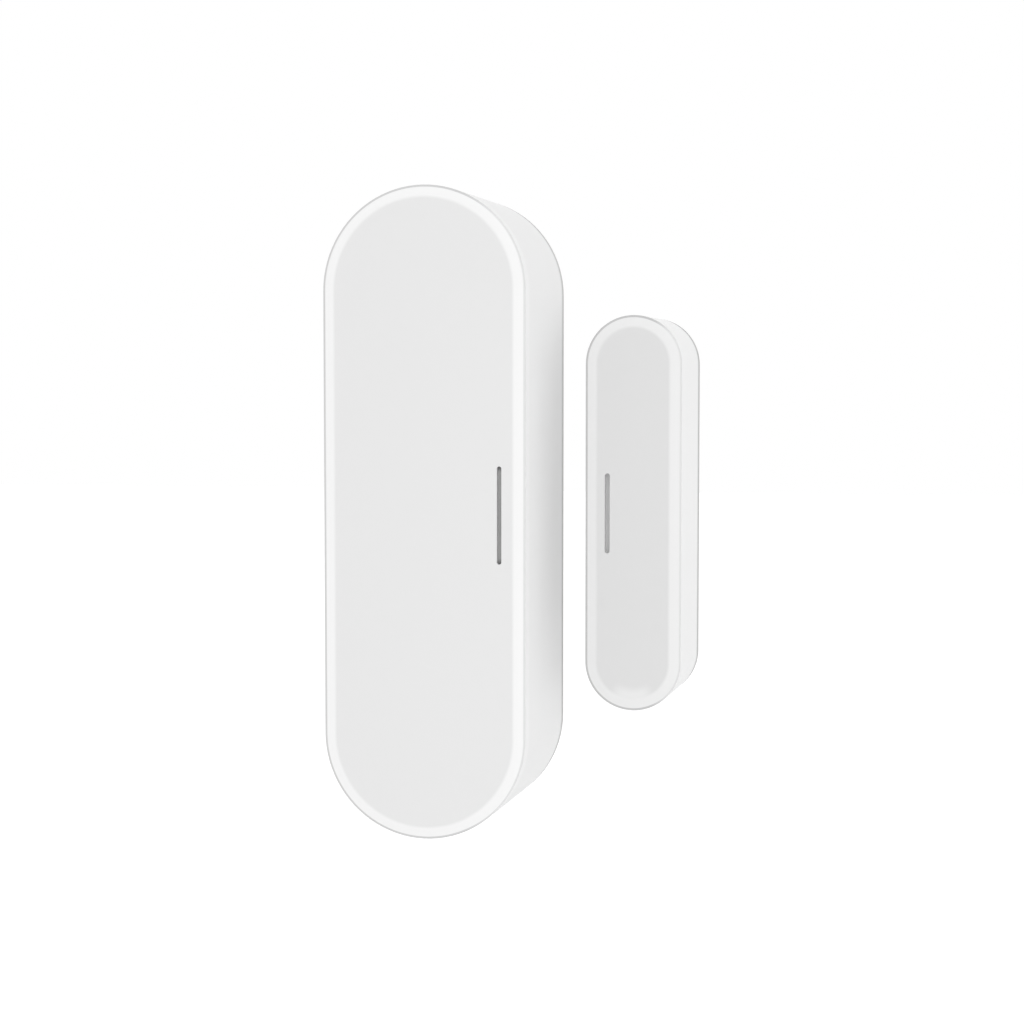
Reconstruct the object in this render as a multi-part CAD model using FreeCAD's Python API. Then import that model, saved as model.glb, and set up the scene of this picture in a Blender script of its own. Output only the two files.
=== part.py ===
"""Wireless door contact sensor: a battery-powered sensor unit and a smaller magnet unit beside it.

Millimetres. +Z is up along both units, -Y is the front, and the wall is the plane y = 0.
The origin is the centre of the sensor unit's adhesive pad, on the wall.
The sensor unit is sized from the inside out, round two AAA cells that lie side by side.
The magnet unit is sized in the same way, round its bar magnet.
"""

import FreeCAD, Part
import math
import os
from collections import namedtuple

os.makedirs("parts", exist_ok=True)

# ---- Cells and their contacts ----
cell_diameter = 10.5
cell_length = 44.5                # over the positive nub
cell_nub_diameter = 3.8
cell_nub_height = 1.0
cell_end_diameter = 8.8           # bare metal disc in each end of the jacket
cell_end_thickness = 0.2
cell_edge_radius = 0.4
cell_gap = 0.2                    # between the two cells
cell_side_clearance = 0.3         # from a cell to the housing wall
cell_cradle_clearance = 0.15      # from a cell to its cradle
contact_thickness = 0.4
contact_width = 8.0
contact_height = 6.8
contact_tab_width = 2.0
contact_tab_proud = 0.5           # tab end, past the front of the board
spring_length = 3.6               # as the closed bay holds it
spring_diameter = 5.4             # over the wire
spring_wire_diameter = 0.6
spring_turns = 3
spring_end_gap = 0.03

# ---- Both shells ----
cover_wall = 1.5
bevel_width = 1.4                 # band round the front face
bevel_rise = 0.25
bevel_blend_radius = 3.0          # softens the line between face and bevel
cover_edge = 0.25                 # height of the cover's side
cover_edge_radius = 0.06
seam_gap = 0.2                    # shadow line between cover and housing
seat_depth = 1.0                  # from the bevel's outer edge to the ledge that the cover sits on
lip_thickness = 0.5               # housing lip outside the cover's core
lip_clearance = 0.05
skirt_thickness = 0.8
skirt_depth = 1.15                # past the inner face of the cover
skirt_clearance = 0.1
rear_edge_radius = 0.3
barb_length = 4.0
barb_height = 0.6
barb_reach = 0.4
barb_from_arc = 8.0               # from a barb's centre to the start of the rounded end
barb_clearance = 0.1
pad_thickness = 0.8               # foam adhesive pad on the wall
plate_clearance = 0.2             # from a back plate to the housing round it
plate_edge_radius = 0.3
plate_skirt_thickness = 1.0
crush_rib_length = 6.0
crush_rib_clearance = 0.05

# ---- Sensor unit ----
sensor_wall = 1.5
sensor_plate_thickness = 1.8
sensor_plate_skirt = 1.6          # rim that stands on the front of the back plate
sensor_pad_inset = 2.0            # from the plate's edge to the pad's edge
cell_back_room = 2.0              # from the back plate to the cells
keeper_rib_width = 1.2            # ribs on the back plate that keep the cells down
keeper_rib_length = 30.0
keeper_rib_gap = 0.3
holder_floor = 0.95
holder_side_clearance = 0.3
holder_end_wall = 1.2
holder_end_margin = 0.95          # from the holder's end wall to the start of the rounded end
cradle_rise = 2.25                # cradle walls over their floor
deck_thickness = 1.0
contact_seat_gap = 0.2
solder_room = 1.0                 # between holder and board
board_thickness = 1.0
board_side_clearance = 0.3
front_room = 3.15                 # between board and cover
wall_screw_hole_diameter = 3.5
wall_screw_from_end = 7.3         # from a hole to the end of the back plate
wall_screw_pad_gap = 1.0
slot_width = 0.56                 # window of the light pipe
slot_length = 11.6
slot_from_edge = 3.08
pipe_clearance = 0.03
pipe_recess = 0.35                # from the front face to the end of the pipe
pipe_flange_width = 2.2
pipe_flange_length = 13.6
pipe_flange_thickness = 0.8
pipe_stem_width = 1.4
pipe_stem_length = 4.0
pipe_notch_gap = 0.4
led_gap = 0.3
shelf_width = 2.5                 # ledge in each rounded end that the board sits on
shelf_thickness = 1.2
screw_diameter = 1.9
screw_head_diameter = 3.8
screw_head_height = 1.3
screw_recess_width = 0.5
screw_recess_length = 2.2
screw_recess_depth = 0.7
screw_from_wall = 4.0             # in from the housing's rounded end
screw_angle = 30.0                # up from the start of the rounded end
screw_tip_gap = 0.4
boss_diameter = 4.0
boss_hole_clearance = 0.05
boss_cover_gap = 0.25
column_hole_clearance = 0.15
board_hole_clearance = 0.25

# ---- Pairing button ----
button_from_end = 6.2             # to the end of the holder
button_diameter = 4.0
button_flange_diameter = 5.6
button_proud = 0.8                # over the deck of the holder
button_clearance = 0.2
button_flange_gap = 0.1
button_edge_radius = 0.3
switch_size = 4.5
switch_height = 1.6
plunger_diameter = 2.0
plunger_proud = 0.6
plunger_depth = 0.8               # inside the switch
plunger_clearance = 0.1
plunger_end_room = 0.3
switch_leg_width = 0.7
switch_leg_reach = 0.6
switch_leg_thickness = 0.2

# ---- Reed switch ----
reed_from_wall = 5.0              # from the centre line to the housing wall
reed_glass_diameter = 2.2
reed_glass_length = 14.0
reed_cavity_diameter = 1.7
reed_cavity_length = 10.0
reed_over_board = 0.3
reed_lead_diameter = 0.5
reed_lead_clearance = 0.02
reed_lead_reach = 2.2             # straight lead outside the glass
reed_bend_radius = 0.6
reed_lead_tip = 0.5               # lead end, past the back of the board
reed_hole_clearance = 0.15
reed_blade_width = 1.1
reed_blade_thickness = 0.2
reed_overlap = 2.0
reed_hinge_gap = 0.1
reed_stub_length = 0.2

# ---- Parts on the circuit board ----
module_x = -2.7
module_tab_gap = 0.55             # from the module to the contacts' tabs
module_width = 12.6
module_length = 16.0
module_board_thickness = 0.8
can_width = 10.6
can_length = 9.4
can_height = 1.9
can_wall = 0.2
can_from_module_end = 1.0
led_width = 1.6
led_length = 3.2
led_base_height = 0.4
led_lens_height = 0.4
led_lens_inset = 0.3
chip_list = (                     # centre x, centre z, width, length, height
    (-4.6, -5.0, 5.0, 5.0, 0.9),
    (-6.4, -12.6, 3.0, 3.0, 1.0),
    (0.6, -13.4, 4.0, 4.0, 1.8),
    (6.2, -15.6, 2.9, 1.6, 1.1),
)
chip_lead_size = 0.3
passive_width = 0.8
passive_length = 1.6
passive_height = 0.6
passive_columns = 5
passive_rows = 2
passive_first_x = -7.2
passive_first_z = -18.6
passive_step_x = 2.4
passive_step_z = 3.0

# ---- Magnet unit ----
unit_gap = 5.8                    # free width between the two units
bar_width = 6.0
bar_depth = 6.0
bar_length = 32.0
bar_edge_radius = 0.4
bar_clearance = 0.1
bar_front_gap = 0.35
magnet_wall = 1.2
magnet_plate_thickness = 1.6
magnet_plate_skirt = 1.0
magnet_pad_inset = 0.9
cradle_wall = 1.3
cradle_grip = 3.0                 # cradle walls beside the bar
stand_height = 5.4                # bar over the back plate
stand_ribs = 3
magnet_end_margin = 0.5
mark_width = 0.62                 # groove that faces the sensor unit's slot
mark_length = 9.6
mark_from_edge = 2.7
mark_depth = 0.8

# ---- Places worked out from those sizes ----
cell_radius = cell_diameter / 2
cell_x = (cell_diameter + cell_gap) / 2
bay_half = (cell_length + spring_length) / 2 + contact_thickness
contact_face = bay_half - contact_thickness
holder_half = bay_half + holder_end_wall
sensor_straight = 2 * (holder_half + holder_end_margin)
sensor_inner = cell_x + cell_radius + cell_side_clearance
holder_radius = sensor_inner - holder_side_clearance
board_radius = sensor_inner - board_side_clearance

plate_back = -pad_thickness
sensor_plate_front = plate_back - sensor_plate_thickness
cell_back = sensor_plate_front - cell_back_room
cell_y = cell_back - cell_radius
cradle_floor = cell_y - cell_radius - cell_cradle_clearance
cradle_top = cradle_floor + cradle_rise
holder_front = cradle_floor - holder_floor
contact_low = cradle_top + contact_seat_gap
contact_high = contact_low + contact_height
end_wall_top = contact_high + contact_thickness
deck_back = cradle_top
deck_front = deck_back - deck_thickness
board_back = holder_front - solder_room
board_front = board_back - board_thickness
cover_inner = board_front - front_room
boss_front = cover_inner + boss_cover_gap
slot_x = sensor_inner + sensor_wall - slot_from_edge
wall_screw_z = sensor_straight / 2 + sensor_inner - plate_clearance - wall_screw_from_end
screw_x = (sensor_inner - screw_from_wall) * math.cos(math.radians(screw_angle))
screw_z = sensor_straight / 2 + (sensor_inner - screw_from_wall) * math.sin(math.radians(screw_angle))
screw_places = [(side * screw_x, end * screw_z) for side in (-1, 1) for end in (-1, 1)]
screw_radius = screw_diameter / 2
button_z = sensor_straight / 2 + holder_radius - button_from_end
module_z = contact_face - module_tab_gap - module_length / 2
reed_x = sensor_inner - reed_from_wall
reed_y = board_front - reed_over_board - reed_glass_diameter / 2
reed_bend_z = reed_glass_length / 2 + reed_lead_reach
reed_hole_z = reed_bend_z + reed_bend_radius

magnet_inner = bar_width / 2 + bar_clearance + cradle_wall + plate_clearance
stand_half_width = bar_width / 2 + bar_clearance + cradle_wall
stand_half_length = bar_length / 2 + bar_clearance + cradle_wall
magnet_straight = 2 * (stand_half_length + magnet_end_margin)
magnet_x = sensor_inner + sensor_wall + unit_gap + magnet_wall + magnet_inner
magnet_plate_front = plate_back - magnet_plate_thickness
bar_back = magnet_plate_front - stand_height
bar_front = bar_back - bar_depth
magnet_cover_inner = bar_front - bar_front_gap

# A capsule-shaped shell: radius and wall of its sides, and the y of its front face's back.
Shell = namedtuple("Shell", "centre_x inner wall straight cover_inner")
sensor = Shell(0.0, sensor_inner, sensor_wall, sensor_straight, cover_inner)
magnet = Shell(magnet_x, magnet_inner, magnet_wall, magnet_straight, magnet_cover_inner)


def vec(x, y, z):
    return FreeCAD.Vector(x, y, z)


def box(x_pair, y_pair, z_pair):
    """Box between two values on each axis, given in either order."""
    low = vec(min(x_pair), min(y_pair), min(z_pair))
    size = vec(max(x_pair), max(y_pair), max(z_pair)) - low
    return Part.makeBox(size.x, size.y, size.z, low)


def centred_box(x, z, width, length, y_pair):
    """Box seen from the front as a rectangle of that width and length round (x, z)."""
    return box((x - width / 2, x + width / 2), y_pair, (z - length / 2, z + length / 2))


def rod(radius, start, end):
    along = end - start
    return Part.makeCylinder(radius, along.Length, start, along)


def pin(radius, x, z, y_pair):
    """Round pin along Y at (x, z)."""
    return rod(radius, vec(x, y_pair[0], z), vec(x, y_pair[1], z))


def outline(points):
    """Closed wire at z = 0 through (x, y, corner radius) points."""
    corners = []
    for i, (x, y, radius) in enumerate(points):
        here = vec(x, y, 0)
        last = vec(points[i - 1][0], points[i - 1][1], 0)
        following = points[(i + 1) % len(points)]
        to_last = (last - here).normalize()
        to_next = (vec(following[0], following[1], 0) - here).normalize()
        if radius == 0:
            corners.append((here, None, here))
            continue
        half_angle = to_last.getAngle(to_next) / 2
        reach = radius / math.tan(half_angle)
        inward = (to_last + to_next).normalize()
        middle = here + inward * (radius / math.sin(half_angle) - radius)
        corners.append((here + to_last * reach, middle, here + to_next * reach))
    edges = []
    for i, (enter, middle, leave) in enumerate(corners):
        edges.append(Part.LineSegment(corners[i - 1][2], enter).toShape())
        if middle is not None:
            edges.append(Part.Arc(enter, middle, leave).toShape())
    return Part.Wire(edges)


def capsule(points, straight, centre_x):
    """Solid whose section, as (distance from the centre line, y, corner radius), runs round a capsule."""
    section = Part.Face(outline(points))
    top = section.revolve(vec(0, 0, 0), vec(0, -1, 0), 180)
    top.translate(vec(0, 0, straight / 2))
    bottom = section.revolve(vec(0, 0, 0), vec(0, 1, 0), 180)
    bottom.translate(vec(0, 0, -straight / 2))
    side = section.extrude(vec(0, 0, straight))
    side.translate(vec(0, 0, -straight / 2))
    other_side = side.mirror(vec(0, 0, 0), vec(1, 0, 0))
    solid = top.fuse([bottom, side, other_side]).removeSplitter()
    solid.translate(vec(centre_x, 0, 0))
    return solid


def slab(radius, straight, y_pair, centre_x=0.0):
    """Flat capsule-shaped plate between two y values."""
    back, front = max(y_pair), min(y_pair)
    points = [(0, back, 0), (radius, back, 0), (radius, front, 0), (0, front, 0)]
    return capsule(points, straight, centre_x)


def slot_cutter(width, length, x, y_pair):
    """Upright slot with rounded ends, centred on z = 0."""
    return slab(width / 2, length - width, y_pair, x)


# ---- Parts that both units have ----
def shell_levels(shell):
    """y of the front face, of the bevel's outer edge and of the ledge under the cover."""
    face = shell.cover_inner - cover_wall
    edge = face + bevel_rise
    return face, edge, edge + seat_depth


def barb_places(shell):
    z = shell.straight / 2 - barb_from_arc
    return [(side, end * z) for side in (-1, 1) for end in (-1, 1)]


def barb_box(shell, side, z, start, reach, spare):
    """Box on the skirt's side for a barb, or larger by spare for the pocket that it snaps into."""
    skirt_end = shell.cover_inner + skirt_depth
    x_pair = (shell.centre_x + side * start, shell.centre_x + side * (start + reach))
    y_pair = (skirt_end + spare, skirt_end - barb_height - spare)
    half = barb_length / 2 + spare
    return box(x_pair, y_pair, (z - half, z + half))


def front_cover(shell):
    face, edge, seat = shell_levels(shell)
    radius = shell.inner + shell.wall
    core = radius - lip_thickness - lip_clearance
    skirt_outer = shell.inner - skirt_clearance
    skirt_inner = skirt_outer - skirt_thickness
    skirt_end = shell.cover_inner + skirt_depth
    cover = capsule([
        (0, face, 0),
        (radius - bevel_width, face, bevel_blend_radius),
        (radius, edge, cover_edge_radius),
        (radius, edge + cover_edge, 0),
        (core, edge + cover_edge, 0),
        (core, seat, 0),
        (skirt_outer, seat, 0),
        (skirt_outer, skirt_end, 0),
        (skirt_inner, skirt_end, 0),
        (skirt_inner, shell.cover_inner, 0),
        (0, shell.cover_inner, 0),
    ], shell.straight, shell.centre_x)
    root = skirt_thickness / 2
    barbs = [barb_box(shell, side, z, skirt_outer - root, root + barb_reach, 0)
             for side, z in barb_places(shell)]
    return cover.fuse(barbs)


def plain_housing(shell):
    face, edge, seat = shell_levels(shell)
    radius = shell.inner + shell.wall
    lip_front = edge + cover_edge + seam_gap
    housing = capsule([
        (shell.inner, plate_back, 0),
        (radius, plate_back, rear_edge_radius),
        (radius, lip_front, cover_edge_radius),
        (radius - lip_thickness, lip_front, 0),
        (radius - lip_thickness, seat, 0),
        (shell.inner, seat, 0),
    ], shell.straight, shell.centre_x)
    pocket_start = shell.inner - barb_clearance
    pocket_reach = barb_reach + barb_clearance
    pockets = [barb_box(shell, side, z, pocket_start, pocket_reach, barb_clearance)
               for side, z in barb_places(shell)]
    return housing.cut(pockets)


def back_plate(shell, plate_front, skirt):
    radius = shell.inner - plate_clearance
    plate = capsule([
        (0, plate_back, 0),
        (radius, plate_back, plate_edge_radius),
        (radius, plate_front - skirt, 0),
        (radius - plate_skirt_thickness, plate_front - skirt, 0),
        (radius - plate_skirt_thickness, plate_front, 0),
        (0, plate_front, 0),
    ], shell.straight, shell.centre_x)
    root = plate_skirt_thickness / 2
    ribs = []
    for side, z in barb_places(shell):
        near = shell.centre_x + side * (radius - root)
        far = shell.centre_x + side * (shell.inner - crush_rib_clearance)
        rib_z = (z - crush_rib_length / 2, z + crush_rib_length / 2)
        ribs.append(box((near, far), (plate_back - plate_edge_radius, plate_front - skirt), rib_z))
    return plate.fuse(ribs)


# ---- Sensor unit: shell ----
def sensor_front_cover():
    face = cover_inner - cover_wall
    notch_half = pipe_flange_length / 2 + pipe_notch_gap
    notch = box((slot_x, sensor_inner), (cover_inner, cover_inner + skirt_depth), (-notch_half, notch_half))
    window = slot_cutter(slot_width, slot_length, slot_x, (face - bevel_rise, cover_inner + bevel_rise))
    return front_cover(sensor).cut([notch, window])


def sensor_light_pipe():
    face = cover_inner - cover_wall
    window = slot_cutter(slot_width - 2 * pipe_clearance, slot_length - 2 * pipe_clearance, slot_x,
                         (face + pipe_recess, cover_inner))
    flange_back = cover_inner + pipe_flange_thickness
    flange = centred_box(slot_x, 0, pipe_flange_width, pipe_flange_length, (cover_inner, flange_back))
    led_top = board_front - led_base_height - led_lens_height
    stem = centred_box(slot_x, 0, pipe_stem_width, pipe_stem_length, (flange_back, led_top - led_gap))
    return window.fuse([flange, stem]).removeSplitter()


def sensor_housing():
    ring = capsule([
        (sensor_inner - shelf_width, board_front, 0),
        (sensor_inner + sensor_wall / 2, board_front, 0),
        (sensor_inner + sensor_wall / 2, board_front - shelf_thickness, 0),
        (sensor_inner - shelf_width, board_front - shelf_thickness, 0),
    ], sensor_straight, 0)
    middle = box((-sensor_inner - sensor_wall, sensor_inner + sensor_wall),
                 (board_front, board_front - shelf_thickness),
                 (-sensor_straight / 2, sensor_straight / 2))
    bosses = [pin(boss_diameter / 2, x, z, (board_front, boss_front)) for x, z in screw_places]
    hole = screw_radius + boss_hole_clearance
    holes = [pin(hole, x, z, (board_front, boss_front)) for x, z in screw_places]
    return plain_housing(sensor).fuse([ring.cut(middle)] + bosses).cut(holes)


def sensor_back_plate():
    rib_half = keeper_rib_length / 2
    ribs = []
    for side in (-1, 1):
        x_pair = (side * cell_x - keeper_rib_width / 2, side * cell_x + keeper_rib_width / 2)
        ribs.append(box(x_pair, (sensor_plate_front, cell_back + keeper_rib_gap), (-rib_half, rib_half)))
    holes = [pin(wall_screw_hole_diameter / 2, 0, end * wall_screw_z, (plate_back, sensor_plate_front))
             for end in (-1, 1)]
    return back_plate(sensor, sensor_plate_front, sensor_plate_skirt).fuse(ribs).cut(holes)


def sensor_adhesive_pad():
    radius = sensor_inner - plate_clearance - sensor_pad_inset
    half_length = wall_screw_z - wall_screw_hole_diameter / 2 - wall_screw_pad_gap
    return slab(radius, 2 * (half_length - radius), (plate_back, 0))


# ---- Sensor unit: cells and holder ----
def holder_cradle():
    """Trough for each cell, closed by a wall at both ends."""
    base = box((-holder_radius, holder_radius), (holder_front, cradle_top), (-holder_half, holder_half))
    trough_radius = cell_radius + cell_cradle_clearance
    troughs = [rod(trough_radius, vec(side * cell_x, cell_y, -bay_half), vec(side * cell_x, cell_y, bay_half))
               for side in (-1, 1)]
    walls = [box((-holder_radius, holder_radius), (holder_front, end_wall_top),
                 (end * bay_half, end * holder_half)) for end in (-1, 1)]
    return base.cut(troughs).fuse(walls)


def holder_ends():
    """Deck over each end of the board, with a column under each screw."""
    deck = slab(holder_radius, sensor_straight, (deck_back, deck_front))
    middle = box((-sensor_inner, sensor_inner), (deck_back, deck_front), (-bay_half, bay_half))
    columns = [pin(boss_diameter / 2, x, z, (board_back, deck_back)) for x, z in screw_places]
    return deck.cut(middle).fuse(columns)


def battery_holder():
    hole = screw_radius + column_hole_clearance
    cuts = [pin(hole, x, z, (board_back, deck_back)) for x, z in screw_places]
    cuts.append(pin(button_diameter / 2 + button_clearance, 0, button_z, (deck_front, deck_back)))
    tab_z = bay_half - contact_thickness / 2 - contact_seat_gap / 2
    for side in (-1, 1):
        cuts.append(centred_box(side * cell_x, tab_z, contact_tab_width + 2 * contact_seat_gap,
                                contact_thickness + contact_seat_gap, (holder_front, cradle_top)))
    return holder_cradle().fuse(holder_ends()).cut(cuts).removeSplitter()


def along_cell(side, distance):
    """z at this distance from the far wall's contact; the right-hand cell is the other way up."""
    return -side * (contact_face - distance)


def cell_piece(side, radius, start, end):
    """Round piece of one cell between two distances from its positive contact."""
    return rod(radius, vec(side * cell_x, cell_y, along_cell(side, start)),
               vec(side * cell_x, cell_y, along_cell(side, end)))


def cell_jackets():
    start = cell_nub_height + cell_end_thickness
    jackets = []
    for side in (-1, 1):
        jacket = cell_piece(side, cell_radius, start, cell_length - cell_end_thickness)
        ends = [edge for edge in jacket.Edges if isinstance(edge.Curve, Part.Circle)]
        jackets.append(jacket.makeFillet(cell_edge_radius, ends))
    return Part.makeCompound(jackets)


def cell_positive_caps():
    caps = []
    for side in (-1, 1):
        disc = cell_piece(side, cell_end_diameter / 2, cell_nub_height, cell_nub_height + cell_end_thickness)
        nub = cell_piece(side, cell_nub_diameter / 2, 0, cell_nub_height)
        caps.append(disc.fuse(nub))
    return Part.makeCompound(caps)


def cell_negative_ends():
    return Part.makeCompound([
        cell_piece(side, cell_end_diameter / 2, cell_length - cell_end_thickness, cell_length)
        for side in (-1, 1)
    ])


def contact_springs():
    wire = spring_wire_diameter / 2
    radius = spring_diameter / 2 - wire
    height = spring_length - 2 * wire - 2 * spring_end_gap
    pitch = height / spring_turns
    springs = []
    for side in (-1, 1):
        helix = Part.makeHelix(pitch, height, radius)
        start = Part.Wire([Part.makeCircle(wire, vec(radius, 0, 0), vec(0, 2 * math.pi * radius, pitch))])
        spring = Part.Wire(helix.Edges).makePipeShell([start], True, True)
        low = min(along_cell(side, cell_length), along_cell(side, cell_length + spring_length))
        spring.translate(vec(side * cell_x, cell_y, low + wire + spring_end_gap))
        springs.append(spring)
    return Part.makeCompound(springs)


def contact_plate(side):
    """Plate on the top wall for one cell, with a tab down through the board."""
    z_pair = (contact_face, bay_half)
    x = side * cell_x
    plate = box((x - contact_width / 2, x + contact_width / 2), (contact_low, contact_high), z_pair)
    tab = box((x - contact_tab_width / 2, x + contact_tab_width / 2),
              (board_front - contact_tab_proud, contact_low), z_pair)
    return plate.fuse(tab).removeSplitter()


def link_contact_plate():
    half = cell_x + contact_width / 2
    return box((-half, half), (contact_low, contact_high), (-contact_face, -bay_half))


# ---- Sensor unit: circuit board ----
def circuit_board():
    hole = screw_radius + board_hole_clearance
    span = (board_back, board_front)
    cuts = [pin(hole, x, z, span) for x, z in screw_places]
    reed_hole = reed_lead_diameter / 2 + reed_hole_clearance
    cuts += [pin(reed_hole, reed_x, end * reed_hole_z, span) for end in (-1, 1)]
    tab_z = bay_half - contact_thickness / 2
    for side in (-1, 1):
        cuts.append(centred_box(side * cell_x, tab_z, contact_tab_width + 2 * contact_seat_gap,
                                contact_thickness + 2 * contact_seat_gap, span))
    return slab(board_radius, sensor_straight, span).cut(cuts)


def on_board(x, z, width, length, low, high):
    """Box on the front of the board, between two heights over it."""
    return centred_box(x, z, width, length, (board_front - low, board_front - high))


def radio_module_board():
    return on_board(module_x, module_z, module_width, module_length, 0, module_board_thickness)


def radio_shield_can():
    z = module_z - module_length / 2 + can_from_module_end + can_length / 2
    top = module_board_thickness + can_height
    outside = on_board(module_x, z, can_width, can_length, module_board_thickness, top)
    inside = on_board(module_x, z, can_width - 2 * can_wall, can_length - 2 * can_wall,
                      module_board_thickness, top - can_wall)
    return outside.cut(inside)


def indicator_led():
    base = on_board(slot_x, 0, led_width, led_length, 0, led_base_height)
    lens = on_board(slot_x, 0, led_width - 2 * led_lens_inset, led_length - 2 * led_lens_inset,
                    led_base_height, led_base_height + led_lens_height)
    return base.fuse(lens)


def small_chips():
    chips = []
    for x, z, width, length, height in chip_list:
        body = on_board(x, z, width, length, 0, height)
        leads = [on_board(x + side * (width + chip_lead_size) / 2, z + row * length / 4,
                          chip_lead_size, chip_lead_size, 0, chip_lead_size)
                 for side in (-1, 1) for row in (-1, 0, 1)]
        chips.append(body.fuse(leads))
    return Part.makeCompound(chips)


def chip_passives():
    parts = []
    for row in range(passive_rows):
        for column in range(passive_columns):
            x = passive_first_x + column * passive_step_x
            z = passive_first_z - row * passive_step_z
            parts.append(on_board(x, z, passive_width, passive_length, 0, passive_height))
    return Part.makeCompound(parts)


def board_screws():
    tip = boss_front + screw_tip_gap
    head_top = deck_back + screw_head_height
    screws = []
    for x, z in screw_places:
        head = pin(screw_head_diameter / 2, x, z, (deck_back, head_top))
        shank = pin(screw_radius, x, z, (tip, deck_back))
        floor = head_top - screw_recess_depth
        cross = [centred_box(x, z, screw_recess_length, screw_recess_width, (floor, head_top)),
                 centred_box(x, z, screw_recess_width, screw_recess_length, (floor, head_top))]
        screws.append(head.fuse(shank).cut(cross))
    return Part.makeCompound(screws)


# ---- Pairing button ----
def tact_switch_base():
    top = board_back + switch_height
    body = centred_box(0, button_z, switch_size, switch_size, (board_back, top))
    legs = []
    for side in (-1, 1):
        for row in (-1, 1):
            x = side * (switch_size + switch_leg_reach) / 2
            z = button_z + row * switch_size / 4
            legs.append(centred_box(x, z, switch_leg_reach, switch_leg_width,
                                    (board_back, board_back + switch_leg_thickness)))
    bore = pin(plunger_diameter / 2 + plunger_clearance, 0, button_z,
               (top - plunger_depth - plunger_end_room, top))
    return body.fuse(legs).cut(bore)


def tact_switch_plunger():
    top = board_back + switch_height
    return pin(plunger_diameter / 2, 0, button_z, (top - plunger_depth, top + plunger_proud))


def pairing_button():
    seat = board_back + switch_height + plunger_proud
    flange = pin(button_flange_diameter / 2, 0, button_z, (seat, deck_front - button_flange_gap))
    stem = pin(button_diameter / 2, 0, button_z, (seat, deck_back + button_proud))
    rim = [edge for edge in stem.Edges
           if isinstance(edge.Curve, Part.Circle) and edge.Curve.Center.y > deck_back]
    return flange.fuse(stem.makeFillet(button_edge_radius, rim)).removeSplitter()


# ---- Reed switch ----
def reed_glass():
    half = reed_glass_length / 2
    ends = (vec(reed_x, reed_y, -half), vec(reed_x, reed_y, half))
    cavity_half = reed_cavity_length / 2
    cavity = rod(reed_cavity_diameter / 2, vec(reed_x, reed_y, -cavity_half), vec(reed_x, reed_y, cavity_half))
    bore = rod(reed_lead_diameter / 2 + reed_lead_clearance, *ends)
    return rod(reed_glass_diameter / 2, *ends).cut([cavity, bore])


def reed_lead(end):
    """Lead from just inside the glass seal to the board, on the lower (-1) or upper (+1) side."""
    inner_end = reed_cavity_length / 2 - reed_stub_length
    bend = reed_bend_radius
    start = vec(reed_x, reed_y, end * inner_end)
    bend_start = vec(reed_x, reed_y, end * reed_bend_z)
    bend_end = vec(reed_x, reed_y + bend, end * (reed_bend_z + bend))
    slant = bend * math.sqrt(0.5)
    bend_middle = vec(reed_x, reed_y + bend - slant, end * (reed_bend_z + slant))
    tip = vec(reed_x, board_back + reed_lead_tip, end * (reed_bend_z + bend))
    path = Part.Wire([
        Part.LineSegment(start, bend_start).toShape(),
        Part.Arc(bend_start, bend_middle, bend_end).toShape(),
        Part.LineSegment(bend_end, tip).toShape(),
    ])
    circle = Part.Wire([Part.makeCircle(reed_lead_diameter / 2, start, vec(0, 0, end))])
    return path.makePipeShell([circle], True, False)


def reed_blade(end, y_pair):
    """Flat blade from one end of the glass to just past the middle."""
    root = reed_cavity_length / 2 - reed_stub_length - reed_hinge_gap
    half = reed_blade_width / 2
    return box((reed_x - half, reed_x + half), y_pair, (end * root, -end * reed_overlap / 2))


def reed_moving_blade():
    return reed_blade(1, (reed_y - reed_blade_thickness, reed_y))


def reed_fixed_blade():
    blade = reed_blade(-1, (reed_y, reed_y + reed_blade_thickness))
    root = reed_cavity_length / 2 - reed_stub_length
    half = reed_blade_width / 2
    neck = box((reed_x - half, reed_x + half), (reed_y, reed_y + reed_blade_thickness),
               (-root, -root + reed_hinge_gap))
    return blade.fuse([neck, reed_lead(-1)])


# ---- Magnet unit ----
def magnet_front_cover():
    face = magnet_cover_inner - cover_wall
    x = magnet_x - (magnet_inner + magnet_wall) + mark_from_edge
    groove = slot_cutter(mark_width, mark_length, x, (face - bevel_rise, face + mark_depth))
    return front_cover(magnet).cut(groove)


def bar_magnet():
    bar = centred_box(magnet_x, 0, bar_width, bar_length, (bar_back, bar_front))
    return bar.makeFillet(bar_edge_radius, bar.Edges)


def magnet_back_plate():
    """Back plate with a hollow stand that grips the bar, crossed by ribs under it."""
    stand = centred_box(magnet_x, 0, 2 * stand_half_width, 2 * stand_half_length,
                        (magnet_plate_front, bar_back - cradle_grip))
    pocket = centred_box(magnet_x, 0, bar_width + 2 * bar_clearance, bar_length + 2 * bar_clearance,
                         (bar_back, bar_back - cradle_grip))
    room = (bar_length - (stand_ribs - 1) * cradle_wall) / stand_ribs
    hollow_width = bar_width - 2 * cradle_wall
    hollows = []
    for i in range(stand_ribs):
        low = -bar_length / 2 + i * (room + cradle_wall)
        hollows.append(centred_box(magnet_x, low + room / 2, hollow_width, room - cradle_wall,
                                   (magnet_plate_front, bar_back)))
    plate = back_plate(magnet, magnet_plate_front, magnet_plate_skirt)
    return plate.fuse(stand).cut([pocket] + hollows).removeSplitter()


def magnet_adhesive_pad():
    radius = magnet_inner - plate_clearance - magnet_pad_inset
    return slab(radius, magnet_straight, (plate_back, 0), magnet_x)


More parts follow.
